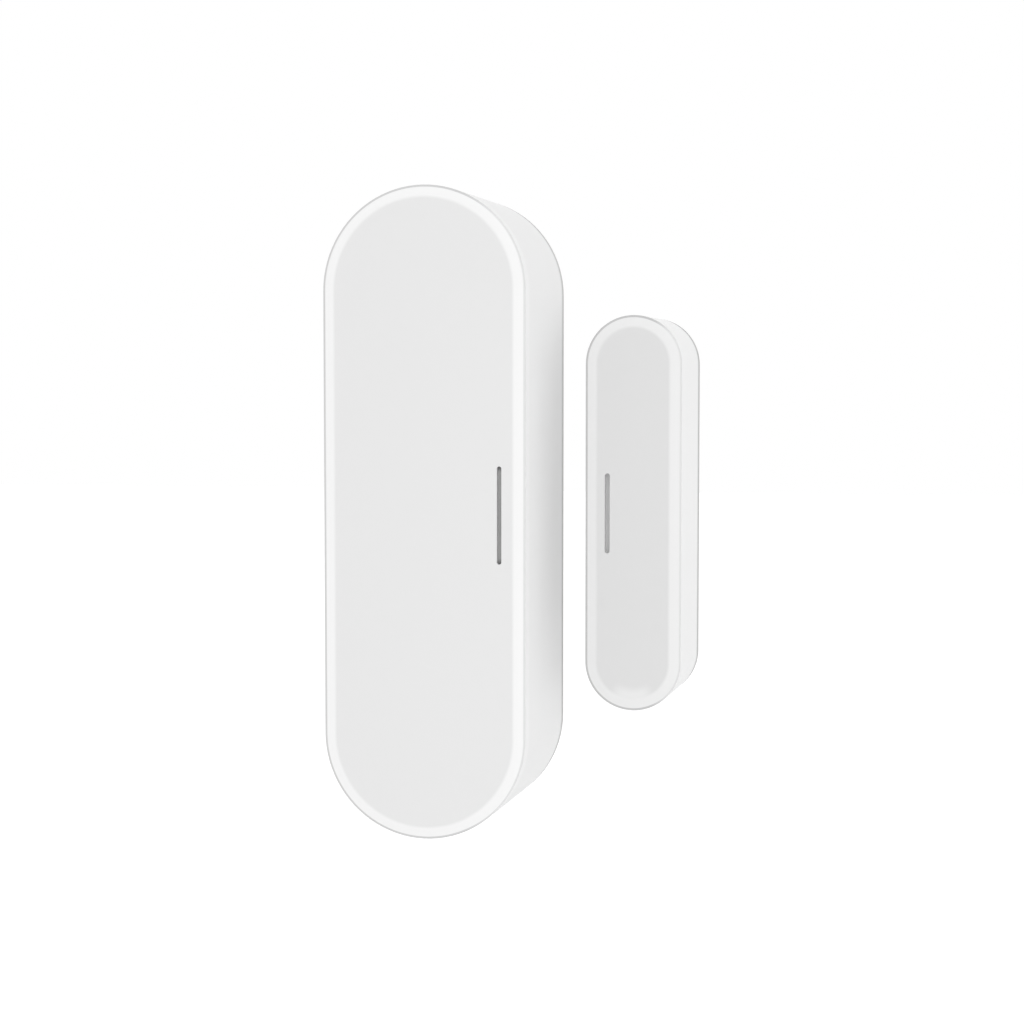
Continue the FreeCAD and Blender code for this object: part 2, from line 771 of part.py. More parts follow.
nodes = {
    "sensor_front_cover": sensor_front_cover(),
    "sensor_light_pipe": sensor_light_pipe(),
    "sensor_housing": sensor_housing(),
    "sensor_back_plate": sensor_back_plate(),
    "sensor_adhesive_pad": sensor_adhesive_pad(),
    "battery_holder": battery_holder(),
    "cell_jackets": cell_jackets(),
    "cell_positive_caps": cell_positive_caps(),
    "cell_negative_ends": cell_negative_ends(),
    "negative_contact_springs": contact_springs(),
    "positive_contact_plate": contact_plate(-1),
    "negative_contact_plate": contact_plate(1),
    "link_contact_plate": link_contact_plate(),
    "circuit_board": circuit_board(),
    "board_screws": board_screws(),
    "radio_module_board": radio_module_board(),
    "radio_shield_can": radio_shield_can(),
    "indicator_led": indicator_led(),
    "small_chips": small_chips(),
    "chip_passives": chip_passives(),
    "tact_switch_base": tact_switch_base(),
    "tact_switch_plunger": tact_switch_plunger(),
    "pairing_button": pairing_button(),
    "reed_glass": reed_glass(),
    "reed_fixed_blade": reed_fixed_blade(),
    "reed_upper_lead": reed_lead(1),
    "reed_moving_blade": reed_moving_blade(),
    "magnet_front_cover": magnet_front_cover(),
    "magnet_housing": plain_housing(magnet),
    "magnet_back_plate": magnet_back_plate(),
    "magnet_adhesive_pad": magnet_adhesive_pad(),
    "bar_magnet": bar_magnet(),
}

for name, shape in nodes.items():
    shape.exportStep(f"parts/{name}.step")
    print(name, "solids", len(shape.Solids), "valid", shape.isValid(), "mm3", round(shape.Volume, 3))
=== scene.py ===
"""Looks of the door contact sensor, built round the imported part. Metres, in the part's own frame."""

import math
import random

import bmesh
import bpy
from mathutils import Euler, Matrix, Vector


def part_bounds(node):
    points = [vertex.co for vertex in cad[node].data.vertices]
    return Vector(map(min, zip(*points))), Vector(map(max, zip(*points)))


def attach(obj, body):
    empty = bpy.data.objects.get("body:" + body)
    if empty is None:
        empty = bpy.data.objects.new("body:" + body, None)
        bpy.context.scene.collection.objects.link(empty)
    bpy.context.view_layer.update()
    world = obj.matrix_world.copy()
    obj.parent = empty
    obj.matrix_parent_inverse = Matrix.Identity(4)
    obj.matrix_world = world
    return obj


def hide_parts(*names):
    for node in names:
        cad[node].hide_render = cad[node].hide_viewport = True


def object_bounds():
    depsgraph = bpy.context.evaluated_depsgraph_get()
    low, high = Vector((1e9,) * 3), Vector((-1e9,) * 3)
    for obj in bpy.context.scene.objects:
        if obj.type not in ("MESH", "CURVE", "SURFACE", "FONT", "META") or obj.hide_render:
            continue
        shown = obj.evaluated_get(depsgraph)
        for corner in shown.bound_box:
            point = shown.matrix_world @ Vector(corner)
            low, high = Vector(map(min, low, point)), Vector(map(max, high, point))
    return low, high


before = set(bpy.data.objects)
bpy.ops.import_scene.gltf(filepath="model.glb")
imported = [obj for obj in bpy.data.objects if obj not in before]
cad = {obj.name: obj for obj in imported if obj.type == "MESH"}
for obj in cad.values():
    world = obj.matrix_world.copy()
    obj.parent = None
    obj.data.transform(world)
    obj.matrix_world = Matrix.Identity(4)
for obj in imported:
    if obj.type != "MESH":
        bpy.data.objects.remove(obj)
part_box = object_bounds()

MM = 0.001

# ---- Finish and painted light of both shells ----
BEVEL_WIDTH = 1.4 * MM  # polished band round each front face, also painted lighter as a highlight
BEVEL_BLEND = 0.26 * MM  # softness of the band's inner line
BEVEL_POLISH = 0.2  # how much less rough the band is
EDGE_LINE = 0.32 * MM  # painted shade line on the outer edge of a cover
RIGHT_EDGE_LINE = 0.24 * MM
RIGHT_TURN = (0.35, 0.8)  # rightness over which it becomes the narrower right line, where more light falls
EDGE_LINE_FULL = 0.6  # share of its width that has the full tone
REAR_LINE = 1.7 * MM  # painted shade along the rear rim of a housing
REAR_LINE_AT_ENDS = 1.2 * MM
REAR_TURN = (0.2, 0.6)  # sideways share over which it widens
REAR_LINE_FULL = 0.45
REAR_TONES = (0.82, 0.63)  # its strength towards the ends and at the sides
REAR_FADE = (0.75, 0.25)  # how far a face looks back as the shade leaves it
FRONT_LIP = 1.1 * MM  # lip of a housing next to the seam, painted paler as a highlight
LOW_HIGHLIGHT_REACH = (1.7 * MM, 0.5 * MM)  # painted highlight at the lower end, inwards from the bevel
LOW_HIGHLIGHT_TURN = (-0.75, -0.98)  # upness over which it comes in
SHELL_DRIFT = 18 * MM
SHELL_GRAIN = {"Size": 0.16 * MM, "Roughness": 0.5, "Spread": 0.06}
GRAIN_DEPTH = 0.002 * MM
GRAIN_STRENGTH = 0.6
PIT_SCALE = 2.7  # how much finer the pits are than the grain
PIT_SHARE = 0.4  # their height beside the grain's
PATCH_SCALE = 0.02  # the same for its gloss patches, which are 50 times as large
PLATE_GRAIN = {"Size": 0.22 * MM, "Roughness": 0.48, "Spread": 0.1}
WINDOW_GRAIN = {"Size": 0.1 * MM, "Roughness": 0.34, "Spread": 0.1}
EJECTOR_RADIUS = 1.6 * MM  # round marks that the mould's pins leave inside
EJECTOR_STEP = 13.0 * MM
EJECTOR_DEPTH = 0.05 * MM
EJECTOR_RIM = 0.9  # share of the radius inside a mark's slope

# ---- Finish of the parts inside ----
WEAR_BEND = (0.995, 0.85)  # likeness of sharp and rounded normal as wear starts and is full
WEAR_PATCH = 1.5 * MM
WEAR_PATCHES = (0.35, 0.6)
WINDOW_END_SHADE = (1.8 * MM, 1.0 * MM)  # in from its ends, where the window is painted darker as shade in its recess
FOAM_CELL = 0.14 * MM
FOAM_PORES = (0.45, 0.15)
LABEL_BAND = (9.85 * MM, 9.75 * MM)  # in from a cell's positive end, where the band starts
LABEL_STRIPE = (10.65 * MM, 0.35 * MM)  # its middle, from the same end, and half its width
LABEL_RIPPLE = 1.6 * MM
TRACES = {"Scale": 1.0, "Mortar Size": 0.09 * MM, "Brick Width": 7.3 * MM, "Row Height": 0.62 * MM}
TRACE_HEIGHT = 0.02 * MM
VIA_STEP = 2.6 * MM  # plated holes scattered over the circuit board
VIA_RADIUS = 0.42 * MM
VIA_SHARE = 0.5  # of the places for them that have one
MODULE_PAD_REACH = 0.8 * MM  # half-holes on the radio module's edges
MODULE_PAD_PITCH = 1.27 * MM
MODULE_PAD_GAP = 0.25 * MM  # half the gap between two of them
REED_MELT = 0.7  # share of the tube's half length where the glass thickens
COLUMN_SIDE = 0.9  # likeness to the round side from which a face is smoothed
NOISE_SPAN = (0.3, 0.7)  # where nearly all values of a noise lie

# ---- Small parts ----
FOAM_POINTS = 220  # round a pad's outline
FOAM_LAYERS = 6
FOAM_WANDER = 0.05 * MM  # unevenness of the die-cut edge
FOAM_WAIST = 1.2  # how far the faces stand in, in wanders
FOAM_NICK = 0.3  # random part of the unevenness
FOAM_TWIST = 0.6  # turn of the waves from layer to layer
FOAM_WAVES = 9
FOAM_WAVE_COUNTS = (5, 60)
SPRING = {  # coils by the radius of the wire's centre line
    "Wire Radius": 0.3 * MM, "Plate Coil": 2.4 * MM, "Cell Coil": 2.0 * MM, "Turns": 3.5,
}
SPRING_STEPS = 240
SPRING_SIDES = 14
SCREW = {
    "Head Radius": 1.9 * MM, "Head Height": 1.3 * MM, "Shank Radius": 0.95 * MM, "Pitch": 0.7 * MM,
    "Recess Length": 2.1 * MM, "Recess Width": 0.5 * MM, "Recess Depth": 0.7 * MM,
}
SCREW_DOME = (2.6, 0.62)  # how late and how far the head draws in
SCREW_ROOT = 0.8  # radius under the thread, in shank radii
SCREW_POINT = 1.2  # length of the point, in shank radii
SCREW_TIP = 0.3  # radius of its tip, in root radii
SCREW_RIDGE = 0.13  # radius of the thread's ridge, in shank radii
SCREW_THREADED = 0.88  # share of the straight shank
SCREW_THREAD_END = 0.97
SCREW_SIDES = 28
SCREW_HEAD_SIDES = 40
SCREW_HEAD_STEPS = 14
SCREW_THREAD_STEPS = 26  # in each turn
SCREW_RIDGE_SIDES = 6
CHIP_LEAD = 0.3 * MM
CHIPS = (  # centre x and z from the board's centre, width, length, height, in mm
    (-4.6, -5.0, 5.0, 5.0, 0.9),
    (-6.4, -12.6, 3.0, 3.0, 1.0),
    (0.6, -13.4, 4.0, 4.0, 1.8),
    (6.2, -15.6, 2.9, 1.6, 1.1),
)
PASSIVE = {
    "Width": 0.8 * MM, "Length": 1.6 * MM, "Height": 0.6 * MM, "End Length": 0.3 * MM,
    "Columns": 5, "Rows": 2,
}
PASSIVE_BODY = 0.9  # width and height of the ceramic, as a share of its ends'

# ---- Studio ----
CAMERA_PLACE = (0.070338, -0.270258, 0.015427)
CAMERA_AZIMUTH = 13.51  # degrees to the right of straight ahead
CAMERA_ELEVATION = 3.368  # degrees above level
CAMERA_LENS = 76.11
CAMERA_SENSOR = 36.0
CAMERA_NEAR = 0.01
FLOOR_LEVEL = -0.30
FLOOR_SIZE = 12.0
FLOOR_CLOUD = 0.4
FLOOR_TONES = (0.78, 0.82)
FLOOR_GLOW = 0.3  # added for the camera, gloss and glass only
WORLD_LEVEL = 1.09
WORLD_RIGHT_DROP = 0.6  # less light straight from the right
LAMPS = {  # place, size and watts
    "right_softbox": ((0.36, -0.08, 0.05), 0.25, 0.09),
    "front_right_softbox": ((0.22, -0.30, 0.0), 0.2, 0.23),
}

ORIGIN = (0, 0, 0)


# ---- Building node trees ----
def feed(tree, socket, value):
    """Sets an input to a value, or links it to another node's output."""
    if isinstance(value, bpy.types.NodeSocket):
        tree.links.new(value, socket)
    else:
        socket.default_value = value


def add(tree, kind, inputs=None, **settings):
    node = tree.nodes.new(kind)
    for name, value in settings.items():
        setattr(node, name, value)
    for key, value in (inputs or {}).items():
        feed(tree, node.inputs[key], value)
    return node


def made(tree, kind, inputs=None, **settings):
    """First output of a new node."""
    return add(tree, kind, inputs, **settings).outputs[0]


def calculate(tree, operation, *values, clamp=False):
    inputs = dict(enumerate(values))
    return made(tree, "ShaderNodeMath", inputs, operation=operation, use_clamp=clamp)


def times(tree, *values):
    """Product of two or more values."""
    result = values[0]
    for value in values[1:]:
        result = calculate(tree, "MULTIPLY", result, value)
    return result


def minus(tree, a, b):
    return calculate(tree, "SUBTRACT", a, b)


def amount_of(tree, value):
    """The value without its sign."""
    return calculate(tree, "ABSOLUTE", value)


def vector_math(tree, operation, a, b, output=0):
    return add(tree, "ShaderNodeVectorMath", {0: a, 1: b}, operation=operation).outputs[output]


def vector(tree, x=0.0, y=0.0, z=0.0):
    return made(tree, "ShaderNodeCombineXYZ", {0: x, 1: y, 2: z})


def axes(tree, value):
    """X, Y and Z outputs of a vector."""
    return add(tree, "ShaderNodeSeparateXYZ", {0: value}).outputs


def remap(tree, value, low, high, to_low=0.0, to_high=1.0):
    """Value moved smoothly from one range to another, and held at its ends."""
    inputs = {"Value": value, "From Min": low, "From Max": high, "To Min": to_low, "To Max": to_high}
    return made(tree, "ShaderNodeMapRange", inputs, interpolation_type="SMOOTHSTEP")


def mix_colours(tree, factor, a, b):
    return add(tree, "ShaderNodeMix", {0: factor, 6: a, 7: b}, data_type="RGBA").outputs[2]


def object_place(tree):
    return add(tree, "ShaderNodeTexCoord").outputs["Object"]


def object_normal(tree):
    return add(tree, "ShaderNodeTexCoord").outputs["Normal"]


def world_normal(tree):
    return add(tree, "ShaderNodeNewGeometry").outputs["Normal"]


def rounded_normal(tree, radius):
    """Normal of the surface as if its edges were rounded."""
    return made(tree, "ShaderNodeBevel", {"Radius": radius}, samples=4)


def noise_by_scale(tree, place, scale, detail=2.0):
    return made(tree, "ShaderNodeTexNoise", {"Vector": place, "Scale": scale, "Detail": detail})


def noise(tree, place, size, detail=2.0):
    """Noise whose features are about this size, in metres."""
    return noise_by_scale(tree, place, 1.0 / size, detail)


def vary(tree, value, amount, base):
    """Base, raised or lowered by amount as a noise value runs from 0 to 1."""
    return calculate(tree, "MULTIPLY_ADD", minus(tree, value, 0.5), amount, base)


def distance_2d(tree, a, b):
    return calculate(tree, "SQRT", calculate(tree, "ADD", times(tree, a, a), times(tree, b, b)))


def socket_kind(value):
    """Kind of the socket that holds a value like this one."""
    if value is None:
        return "NodeSocketMaterial"
    if isinstance(value, tuple):
        return "NodeSocketColor" if len(value) == 4 else "NodeSocketVector"
    return "NodeSocketInt" if isinstance(value, int) else "NodeSocketFloat"


def start_nodes(tree_kind, name, inputs, outputs):
    """Node group with its inputs and outputs. The inputs are given by a usual value for each."""
    group = bpy.data.node_groups.new(name, tree_kind)
    for socket, usual in inputs.items():
        item = group.interface.new_socket(socket, in_out="INPUT", socket_type=socket_kind(usual))
        if usual is not None:
            item.default_value = usual
    for socket, kind in outputs.items():
        group.interface.new_socket(socket, in_out="OUTPUT", socket_type=kind)
    return group, group.nodes.new("NodeGroupInput").outputs, group.nodes.new("NodeGroupOutput").inputs


# ---- Shared effects ----
def start_group(name, inputs, *outputs):
    kinds = {"Colour": "NodeSocketColor", "Normal": "NodeSocketVector"}
    sockets = {key: kinds.get(key, "NodeSocketFloat") for key in outputs}
    return start_nodes("ShaderNodeTree", name, inputs, sockets)


def effect(tree, group, **inputs):
    """A shared group placed in a material. Its input names have underscores for spaces."""
    values = {key.replace("_", " "): value for key, value in inputs.items()}
    return add(tree, "ShaderNodeGroup", values, node_tree=group).outputs


def make_tone_drift():
    """Slow, faint change of tone over a moulded or coated surface."""
    usual = {"Colour": (1, 1, 1, 1), "Amount": 0.03, "Size": 0.02}
    group, given, out = start_group("tone drift", usual, "Colour")
    cloud = noise_by_scale(group, object_place(group), calculate(group, "DIVIDE", 1.0, given["Size"]), 3.0)
    change = vary(group, cloud, given["Amount"], 1.0)
    inputs = {0: 1.0, 6: given["Colour"], 7: vector(group, change, change, change)}
    tinted = add(group, "ShaderNodeMix", inputs, data_type="RGBA", blend_type="MULTIPLY").outputs[2]
    feed(group, out["Colour"], tinted)
    return group


def make_fine_grain():
    """Spark-eroded grain of a moulded face: a height for bump and a matching change of roughness."""
    usual = {"Size": 0.0002, "Roughness": 0.4, "Spread": 0.08}
    group, given, out = start_group("fine grain", usual, "Height", "Roughness")
    place = object_place(group)
    scale = calculate(group, "DIVIDE", 1.0, given["Size"])
    coarse = noise_by_scale(group, place, scale)
    inputs = {"Vector": place, "Scale": times(group, scale, PIT_SCALE)}
    pits = add(group, "ShaderNodeTexVoronoi", inputs).outputs["Distance"]
    feed(group, out["Height"], calculate(group, "MULTIPLY_ADD", pits, PIT_SHARE, coarse))
    patch = noise_by_scale(group, place, times(group, scale, PATCH_SCALE))
    feed(group, out["Roughness"], vary(group, patch, given["Spread"], given["Roughness"]))
    return group


def make_hairlines():
    """Fine straight lines along one axis, as on rolled or brushed metal."""
    usual = {"Stretch": (1, 1, 0.03), "Size": 0.0001, "Roughness": 0.3, "Spread": 0.15}
    group, given, out = start_group("hairlines", usual, "Height", "Roughness")
    place = vector_math(group, "MULTIPLY", object_place(group), given["Stretch"])
    lines = noise_by_scale(group, place, calculate(group, "DIVIDE", 1.0, given["Size"]), 4.0)
    feed(group, out["Height"], lines)
    feed(group, out["Roughness"], vary(group, lines, given["Spread"], given["Roughness"]))
    return group


def make_edge_wear():
    """Mask of the edges, broken up by noise, where moulding or handling has rounded them."""
    group, given, out = start_group("edge wear", {"Radius": 0.0002, "Amount": 1.0}, "Mask")
    rounded = rounded_normal(group, given["Radius"])
    alike = vector_math(group, "DOT_PRODUCT", rounded, world_normal(group), "Value")
    patches = remap(group, noise(group, object_place(group), WEAR_PATCH, 4.0), *WEAR_PATCHES)
    feed(group, out["Mask"], times(group, remap(group, alike, *WEAR_BEND), patches, given["Amount"]))
    return group


def make_capsule_distance():
    """Where a point lies in an upright capsule seen from the front: how far from its centre line, and
    how far to the right or upwards that direction points, from -1 to 1."""
    usual = {"Centre": 0.0, "Half Straight": 0.02}
    group, given, out = start_group("capsule distance", usual, "Distance", "Rightness", "Upness")
    place = axes(group, object_place(group))
    across = minus(group, place["X"], given["Centre"])
    past_straight = minus(group, amount_of(group, place["Z"]), given["Half Straight"])
    along = calculate(group, "MAXIMUM", past_straight, 0.0)
    distance = distance_2d(group, across, along)
    signed = times(group, along, calculate(group, "SIGN", place["Z"]))
    feed(group, out["Distance"], distance)
    feed(group, out["Rightness"], calculate(group, "DIVIDE", across, distance))
    feed(group, out["Upness"], calculate(group, "DIVIDE", signed, distance))
    return group


def make_ejector_marks():
    """Height of the shallow round marks that ejector pins leave on the inside of a moulding."""
    usual = {"Across": 0.006, "Step": 0.013, "Radius": 0.0016, "Centre": 0.0}
    group, given, out = start_group("ejector marks", usual, "Height")
    place = axes(group, object_place(group))
    from_middle = amount_of(group, minus(group, place["X"], given["Centre"]))
    x = minus(group, from_middle, given["Across"])
    z = calculate(group, "PINGPONG", place["Z"], times(group, given["Step"], 0.5))
    slope = times(group, given["Radius"], EJECTOR_RIM)
    inputs = {"Value": distance_2d(group, x, z), "From Min": given["Radius"], "From Max": slope}
    mark = made(group, "ShaderNodeMapRange", inputs)
    inside = calculate(group, "LESS_THAN", axes(group, object_normal(group))["Y"], -0.5)
    feed(group, out["Height"], times(group, mark, inside))
    return group


def make_column_normal():
    """Smooth normal for the round sides of two upright columns that stand side by side about x = 0."""
    group, given, out = start_group("column normal", {"Half Distance": 0.006, "Depth": 0.0}, "Normal")
    place = axes(group, object_place(group))
    column = times(group, calculate(group, "SIGN", place["X"]), given["Half Distance"])
    outwards = vector(group, minus(group, place["X"], column), minus(group, place["Y"], given["Depth"]))
    turned = made(group, "ShaderNodeVectorTransform", {0: outwards}, vector_type="NORMAL",
                 convert_from="OBJECT", convert_to="WORLD")
    flat = world_normal(group)
    facing = vector_math(group, "DOT_PRODUCT", turned, flat, "Value")
    inputs = {0: turned, "Scale": calculate(group, "SIGN", facing)}
    signed = made(group, "ShaderNodeVectorMath", inputs, operation="SCALE")
    on_side = calculate(group, "GREATER_THAN", amount_of(group, facing), COLUMN_SIDE)
    mixed = add(group, "ShaderNodeMix", {0: on_side, 4: flat, 5: signed}, data_type="VECTOR").outputs[1]
    feed(group, out["Normal"], mixed)
    return group


tone_drift = make_tone_drift()
fine_grain = make_fine_grain()
hairlines = make_hairlines()
edge_wear = make_edge_wear()
capsule_distance = make_capsule_distance()
ejector_marks = make_ejector_marks()
column_normal = make_column_normal()


# ---- Building materials ----
def start_material(name):
    """A new material and its node tree, which holds one Principled shader."""
    material = bpy.data.materials.new(name)
    material.use_nodes = True
    return material, material.node_tree


def finished(material, colour, roughness, normal=None, metallic=0.0, **others):
    """The material with its shader fed. Names of other inputs have underscores for spaces."""
    tree = material.node_tree
    shader = next(n for n in tree.nodes if n.type == "BSDF_PRINCIPLED").inputs
    others.update({"Base Color": colour, "Roughness": roughness, "Metallic": metallic})
    if normal is not None:
        others["Normal"] = normal
    for name, value in others.items():
        feed(tree, shader[name.replace("_", " ")], value)
    return material


def bump(tree, height, depth, strength=1.0, under=None):
    """Normal of a surface with this height over it, in metres at height 1."""
    inputs = {"Height": height, "Distance": depth, "Strength": strength}
    if under is not None:
        inputs["Normal"] = under
    return made(tree, "ShaderNodeBump", inputs)


def rounded_bump(tree, height, depth, radius):
    return bump(tree, height, depth, under=rounded_normal(tree, radius))


def grey(level, blue=1.0):
    return (level, level, level * blue, 1.0)


# The shells are one white plastic; these whites are lit and shaded copies of it: sides painted lighter than
# faces, the magnet's face painted darker, bevels and lip painted highlights, edge greys painted shade.
FACE_WHITE = grey(0.79)
BEVEL_HIGHLIGHT_WHITE = grey(0.905)
SIDE_LIT_WHITE = grey(0.91)
LIP_HIGHLIGHT_WHITE = grey(0.95)
EDGE_PAINTED_SHADE = grey(0.62)
REAR_PAINTED_SHADE = grey(0.36)
MAGNET_FACE_SHADED_WHITE = grey(0.715)
MAGNET_BEVEL_HIGHLIGHT_WHITE = grey(0.82)
MAGNET_SIDE_LIT_WHITE = grey(0.94)
MAGNET_EDGE_PAINTED_SHADE = grey(0.54)
PLATE_WHITE = grey(0.8, 0.985)
SMOKE_GREY = grey(0.34)
SMOKE_END_SHADE = grey(0.14)
FOAM_WHITE = grey(0.78, 0.96)
PORE_GREY = grey(0.5, 0.95)
LABEL_SLATE = (0.045, 0.06, 0.075, 1)
LABEL_SILVER = grey(0.55)
MASK_GREEN = (0.010, 0.085, 0.030, 1)
TRACE_GREEN = (0.020, 0.150, 0.055, 1)
GLASS_FIBRE = (0.42, 0.36, 0.17, 1)
TINNED = (0.62, 0.58, 0.48, 1)
TINNED_LEAD = grey(0.72, 0.97)
MODULE_BLACK = grey(0.02)
GOLD = (0.85, 0.62, 0.24, 1)
LENS_PALE = (0.85, 0.84, 0.74, 1)
LENS_DEEP = (0.78, 0.74, 0.58, 1)
GLASS_PALE = (0.90, 0.97, 0.92, 1)
GLASS_THICK = (0.70, 0.86, 0.76, 1)


def drifting(tree, colour, amount, size):
    return effect(tree, tone_drift, Colour=colour, Amount=amount, Size=size)["Colour"]


def worn_colour(tree, colour, drift, drift_size, wear, wear_radius, paler=0.25):
    """Colour that drifts over the surface and is paler on its worn edges."""
    worn = effect(tree, edge_wear, Radius=wear_radius, Amount=wear)["Mask"]
    edge = tuple(paler + (1 - paler) * c for c in colour[:3]) + (1.0,)
    return mix_colours(tree, worn, drifting(tree, colour, drift, drift_size), edge)


def grained(material, colour, grain, depth, under=None, strength=1.0, specular=0.4):
    """The finished material, with a fine grain in its gloss and its relief."""
    tree = material.node_tree
    surface = effect(tree, fine_grain, **grain)
    normal = bump(tree, surface["Height"], depth, strength, under)
    return finished(material, colour, surface["Roughness"], normal, Specular_IOR_Level=specular)


# ---- White shells ----
def shell_capsule(tree, node):
    """Capsule distance round a shell, and its outer radius."""
    low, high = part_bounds(node)
    radius = (high.x - low.x) / 2
    half_straight = (high.z - low.z) / 2 - radius
    capsule = effect(tree, capsule_distance, Centre=(low.x + high.x) / 2, Half_Straight=half_straight)
    return capsule, radius


def line_at(tree, place, edge, width, full):
    """1 at an edge, falling to 0 a line's width inside it. A share of the width has the full tone."""
    line_full = calculate(tree, "MULTIPLY_ADD", width, -full, edge)
    return remap(tree, place, minus(tree, edge, width), line_full)


def cover_plastic(name, node, face, band, line, right_shade_share, low_highlight=0.0):
    """Satin face inside a polished bevel that is painted lighter as a highlight, with an optional painted
    highlight at the lower end. A thin grey line of painted shade round the edge keeps only a share of its
    tone down the right side, where more light falls."""
    material, tree = start_material(name)
    capsule, radius = shell_capsule(tree, node)
    distance = capsule["Distance"]
    rightness = capsule["Rightness"]
    inner = radius - BEVEL_WIDTH
    on_polished_highlight_band = remap(tree, distance, inner - BEVEL_BLEND, inner + BEVEL_BLEND)
    width = remap(tree, rightness, *RIGHT_TURN, EDGE_LINE, RIGHT_EDGE_LINE)
    rim_shade = line_at(tree, distance, radius, width, EDGE_LINE_FULL)
    on_edge = times(tree, rim_shade, remap(tree, rightness, *RIGHT_TURN, 1.0, right_shade_share))
    tinted = drifting(tree, face, 0.012, SHELL_DRIFT)
    # painted highlight near the lower end of the face, in the bevel's white
    if low_highlight:
        near_band = remap(tree, distance, inner - LOW_HIGHLIGHT_REACH[0], inner - LOW_HIGHLIGHT_REACH[1])
        low_end = remap(tree, capsule["Upness"], *LOW_HIGHLIGHT_TURN)
        tinted = mix_colours(tree, times(tree, near_band, low_end, low_highlight), tinted, band)
    # painted highlight: the bevel band takes its lighter white
    tinted = mix_colours(tree, on_polished_highlight_band, tinted, band)
    # painted shade: a grey line round the cover's edge, fainter on the right
    tinted = mix_colours(tree, on_edge, tinted, line)
    surface = effect(tree, fine_grain, **SHELL_GRAIN)
    roughness = minus(tree, surface["Roughness"], times(tree, on_polished_highlight_band, BEVEL_POLISH))
    grain = bump(tree, surface["Height"], GRAIN_DEPTH, GRAIN_STRENGTH)
    return finished(material, tinted, roughness, grain, Specular_IOR_Level=0.35)


def housing_plastic(name, node, side, reach=1.0, weight=1.0):
    """Satin side wall with a lip at the seam painted paler as a highlight, and painted shade towards the rear
    rim. Reach and weight scale the width and strength of that painted shade."""
    material, tree = start_material(name)
    low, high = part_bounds(node)
    capsule, _ = shell_capsule(tree, node)
    sideways = amount_of(tree, capsule["Rightness"])
    depth = axes(tree, object_place(tree))["Y"]
    at_lip = remap(tree, depth, low.y + 2 * FRONT_LIP, low.y + FRONT_LIP)
    width = remap(tree, sideways, *REAR_TURN, reach * REAR_LINE_AT_ENDS, reach * REAR_LINE)
    on_rear = line_at(tree, depth, high.y, width, REAR_LINE_FULL)
    off_rear_face = remap(tree, axes(tree, object_normal(tree))["Y"], *REAR_FADE)
    share = remap(tree, sideways, 0.5, 1.0, REAR_TONES[0] * weight, REAR_TONES[1] * weight)
    # painted highlight on the lip behind the seam
    tinted = mix_colours(tree, at_lip, drifting(tree, side, 0.015, SHELL_DRIFT), LIP_HIGHLIGHT_WHITE)
    # painted shade: grey towards the rear rim, strongest at the sides
    tinted = mix_colours(tree, times(tree, on_rear, off_rear_face, share), tinted, REAR_PAINTED_SHADE)
    return grained(material, tinted, SHELL_GRAIN, GRAIN_DEPTH, strength=GRAIN_STRENGTH, specular=0.2)


def plate_plastic(name, node):
    """White back plate with ejector marks and faint rubs on its edges."""
    material, tree = start_material(name)
    low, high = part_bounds(node)
    marks = effect(tree, ejector_marks, Across=(high.x - low.x) / 4, Step=EJECTOR_STEP,
                   Radius=EJECTOR_RADIUS, Centre=(low.x + high.x) / 2)["Height"]
    tinted = worn_colour(tree, PLATE_WHITE, 0.03, 15 * MM, 0.6, 0.15 * MM)
    pressed = rounded_bump(tree, marks, -EJECTOR_DEPTH, 0.12 * MM)
    return grained(material, tinted, PLATE_GRAIN, 0.004 * MM, pressed)


# ---- Other plastics ----
def moulded_plastic(name, colour, roughness, size=0.2 * MM, depth=0.004 * MM):
    material, tree = start_material(name)
    tinted = worn_colour(tree, colour, 0.04, 9 * MM, 0.5, 0.12 * MM, 0.12)
    grain = {"Size": size, "Roughness": roughness, "Spread": 0.12}
    return grained(material, tinted, grain, depth, rounded_normal(tree, 0.1 * MM))


def smoked_window():
    """End of the light pipe: grey polycarbonate, frosted by its mould and painted darker at both ends as
    shade in its recess.
    """
    material, tree = start_material("smoked window")
    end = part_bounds("sensor_light_pipe")[1].z
    from_middle = amount_of(tree, axes(tree, object_place(tree))["Z"])
    near_end = remap(tree, from_middle, end - WINDOW_END_SHADE[0], end - WINDOW_END_SHADE[1])
    # painted shade at both ends of the window
    tinted = mix_colours(tree, near_end, drifting(tree, SMOKE_GREY, 0.1, 3 * MM), SMOKE_END_SHADE)
    return grained(material, tinted, WINDOW_GRAIN, GRAIN_DEPTH)


def foam_tape():
    """Closed-cell acrylic foam: off-white, matt, with open pores along its cut edge."""
    material, tree = start_material("foam tape")
    place = object_place(tree)
    cells = add(tree, "ShaderNodeTexVoronoi", {"Vector": place, "Scale": 1 / FOAM_CELL}).outputs["Distance"]
    pores = remap(tree, cells, *FOAM_PORES)
    tinted = mix_colours(tree, pores, drifting(tree, FOAM_WHITE, 0.06, 5 * MM), PORE_GREY)
    roughness = vary(tree, noise(tree, place, 2 * MM), 0.1, 0.85)
    return finished(material, tinted, roughness, bump(tree, cells, 0.05 * MM), Specular_IOR_Level=0.2)


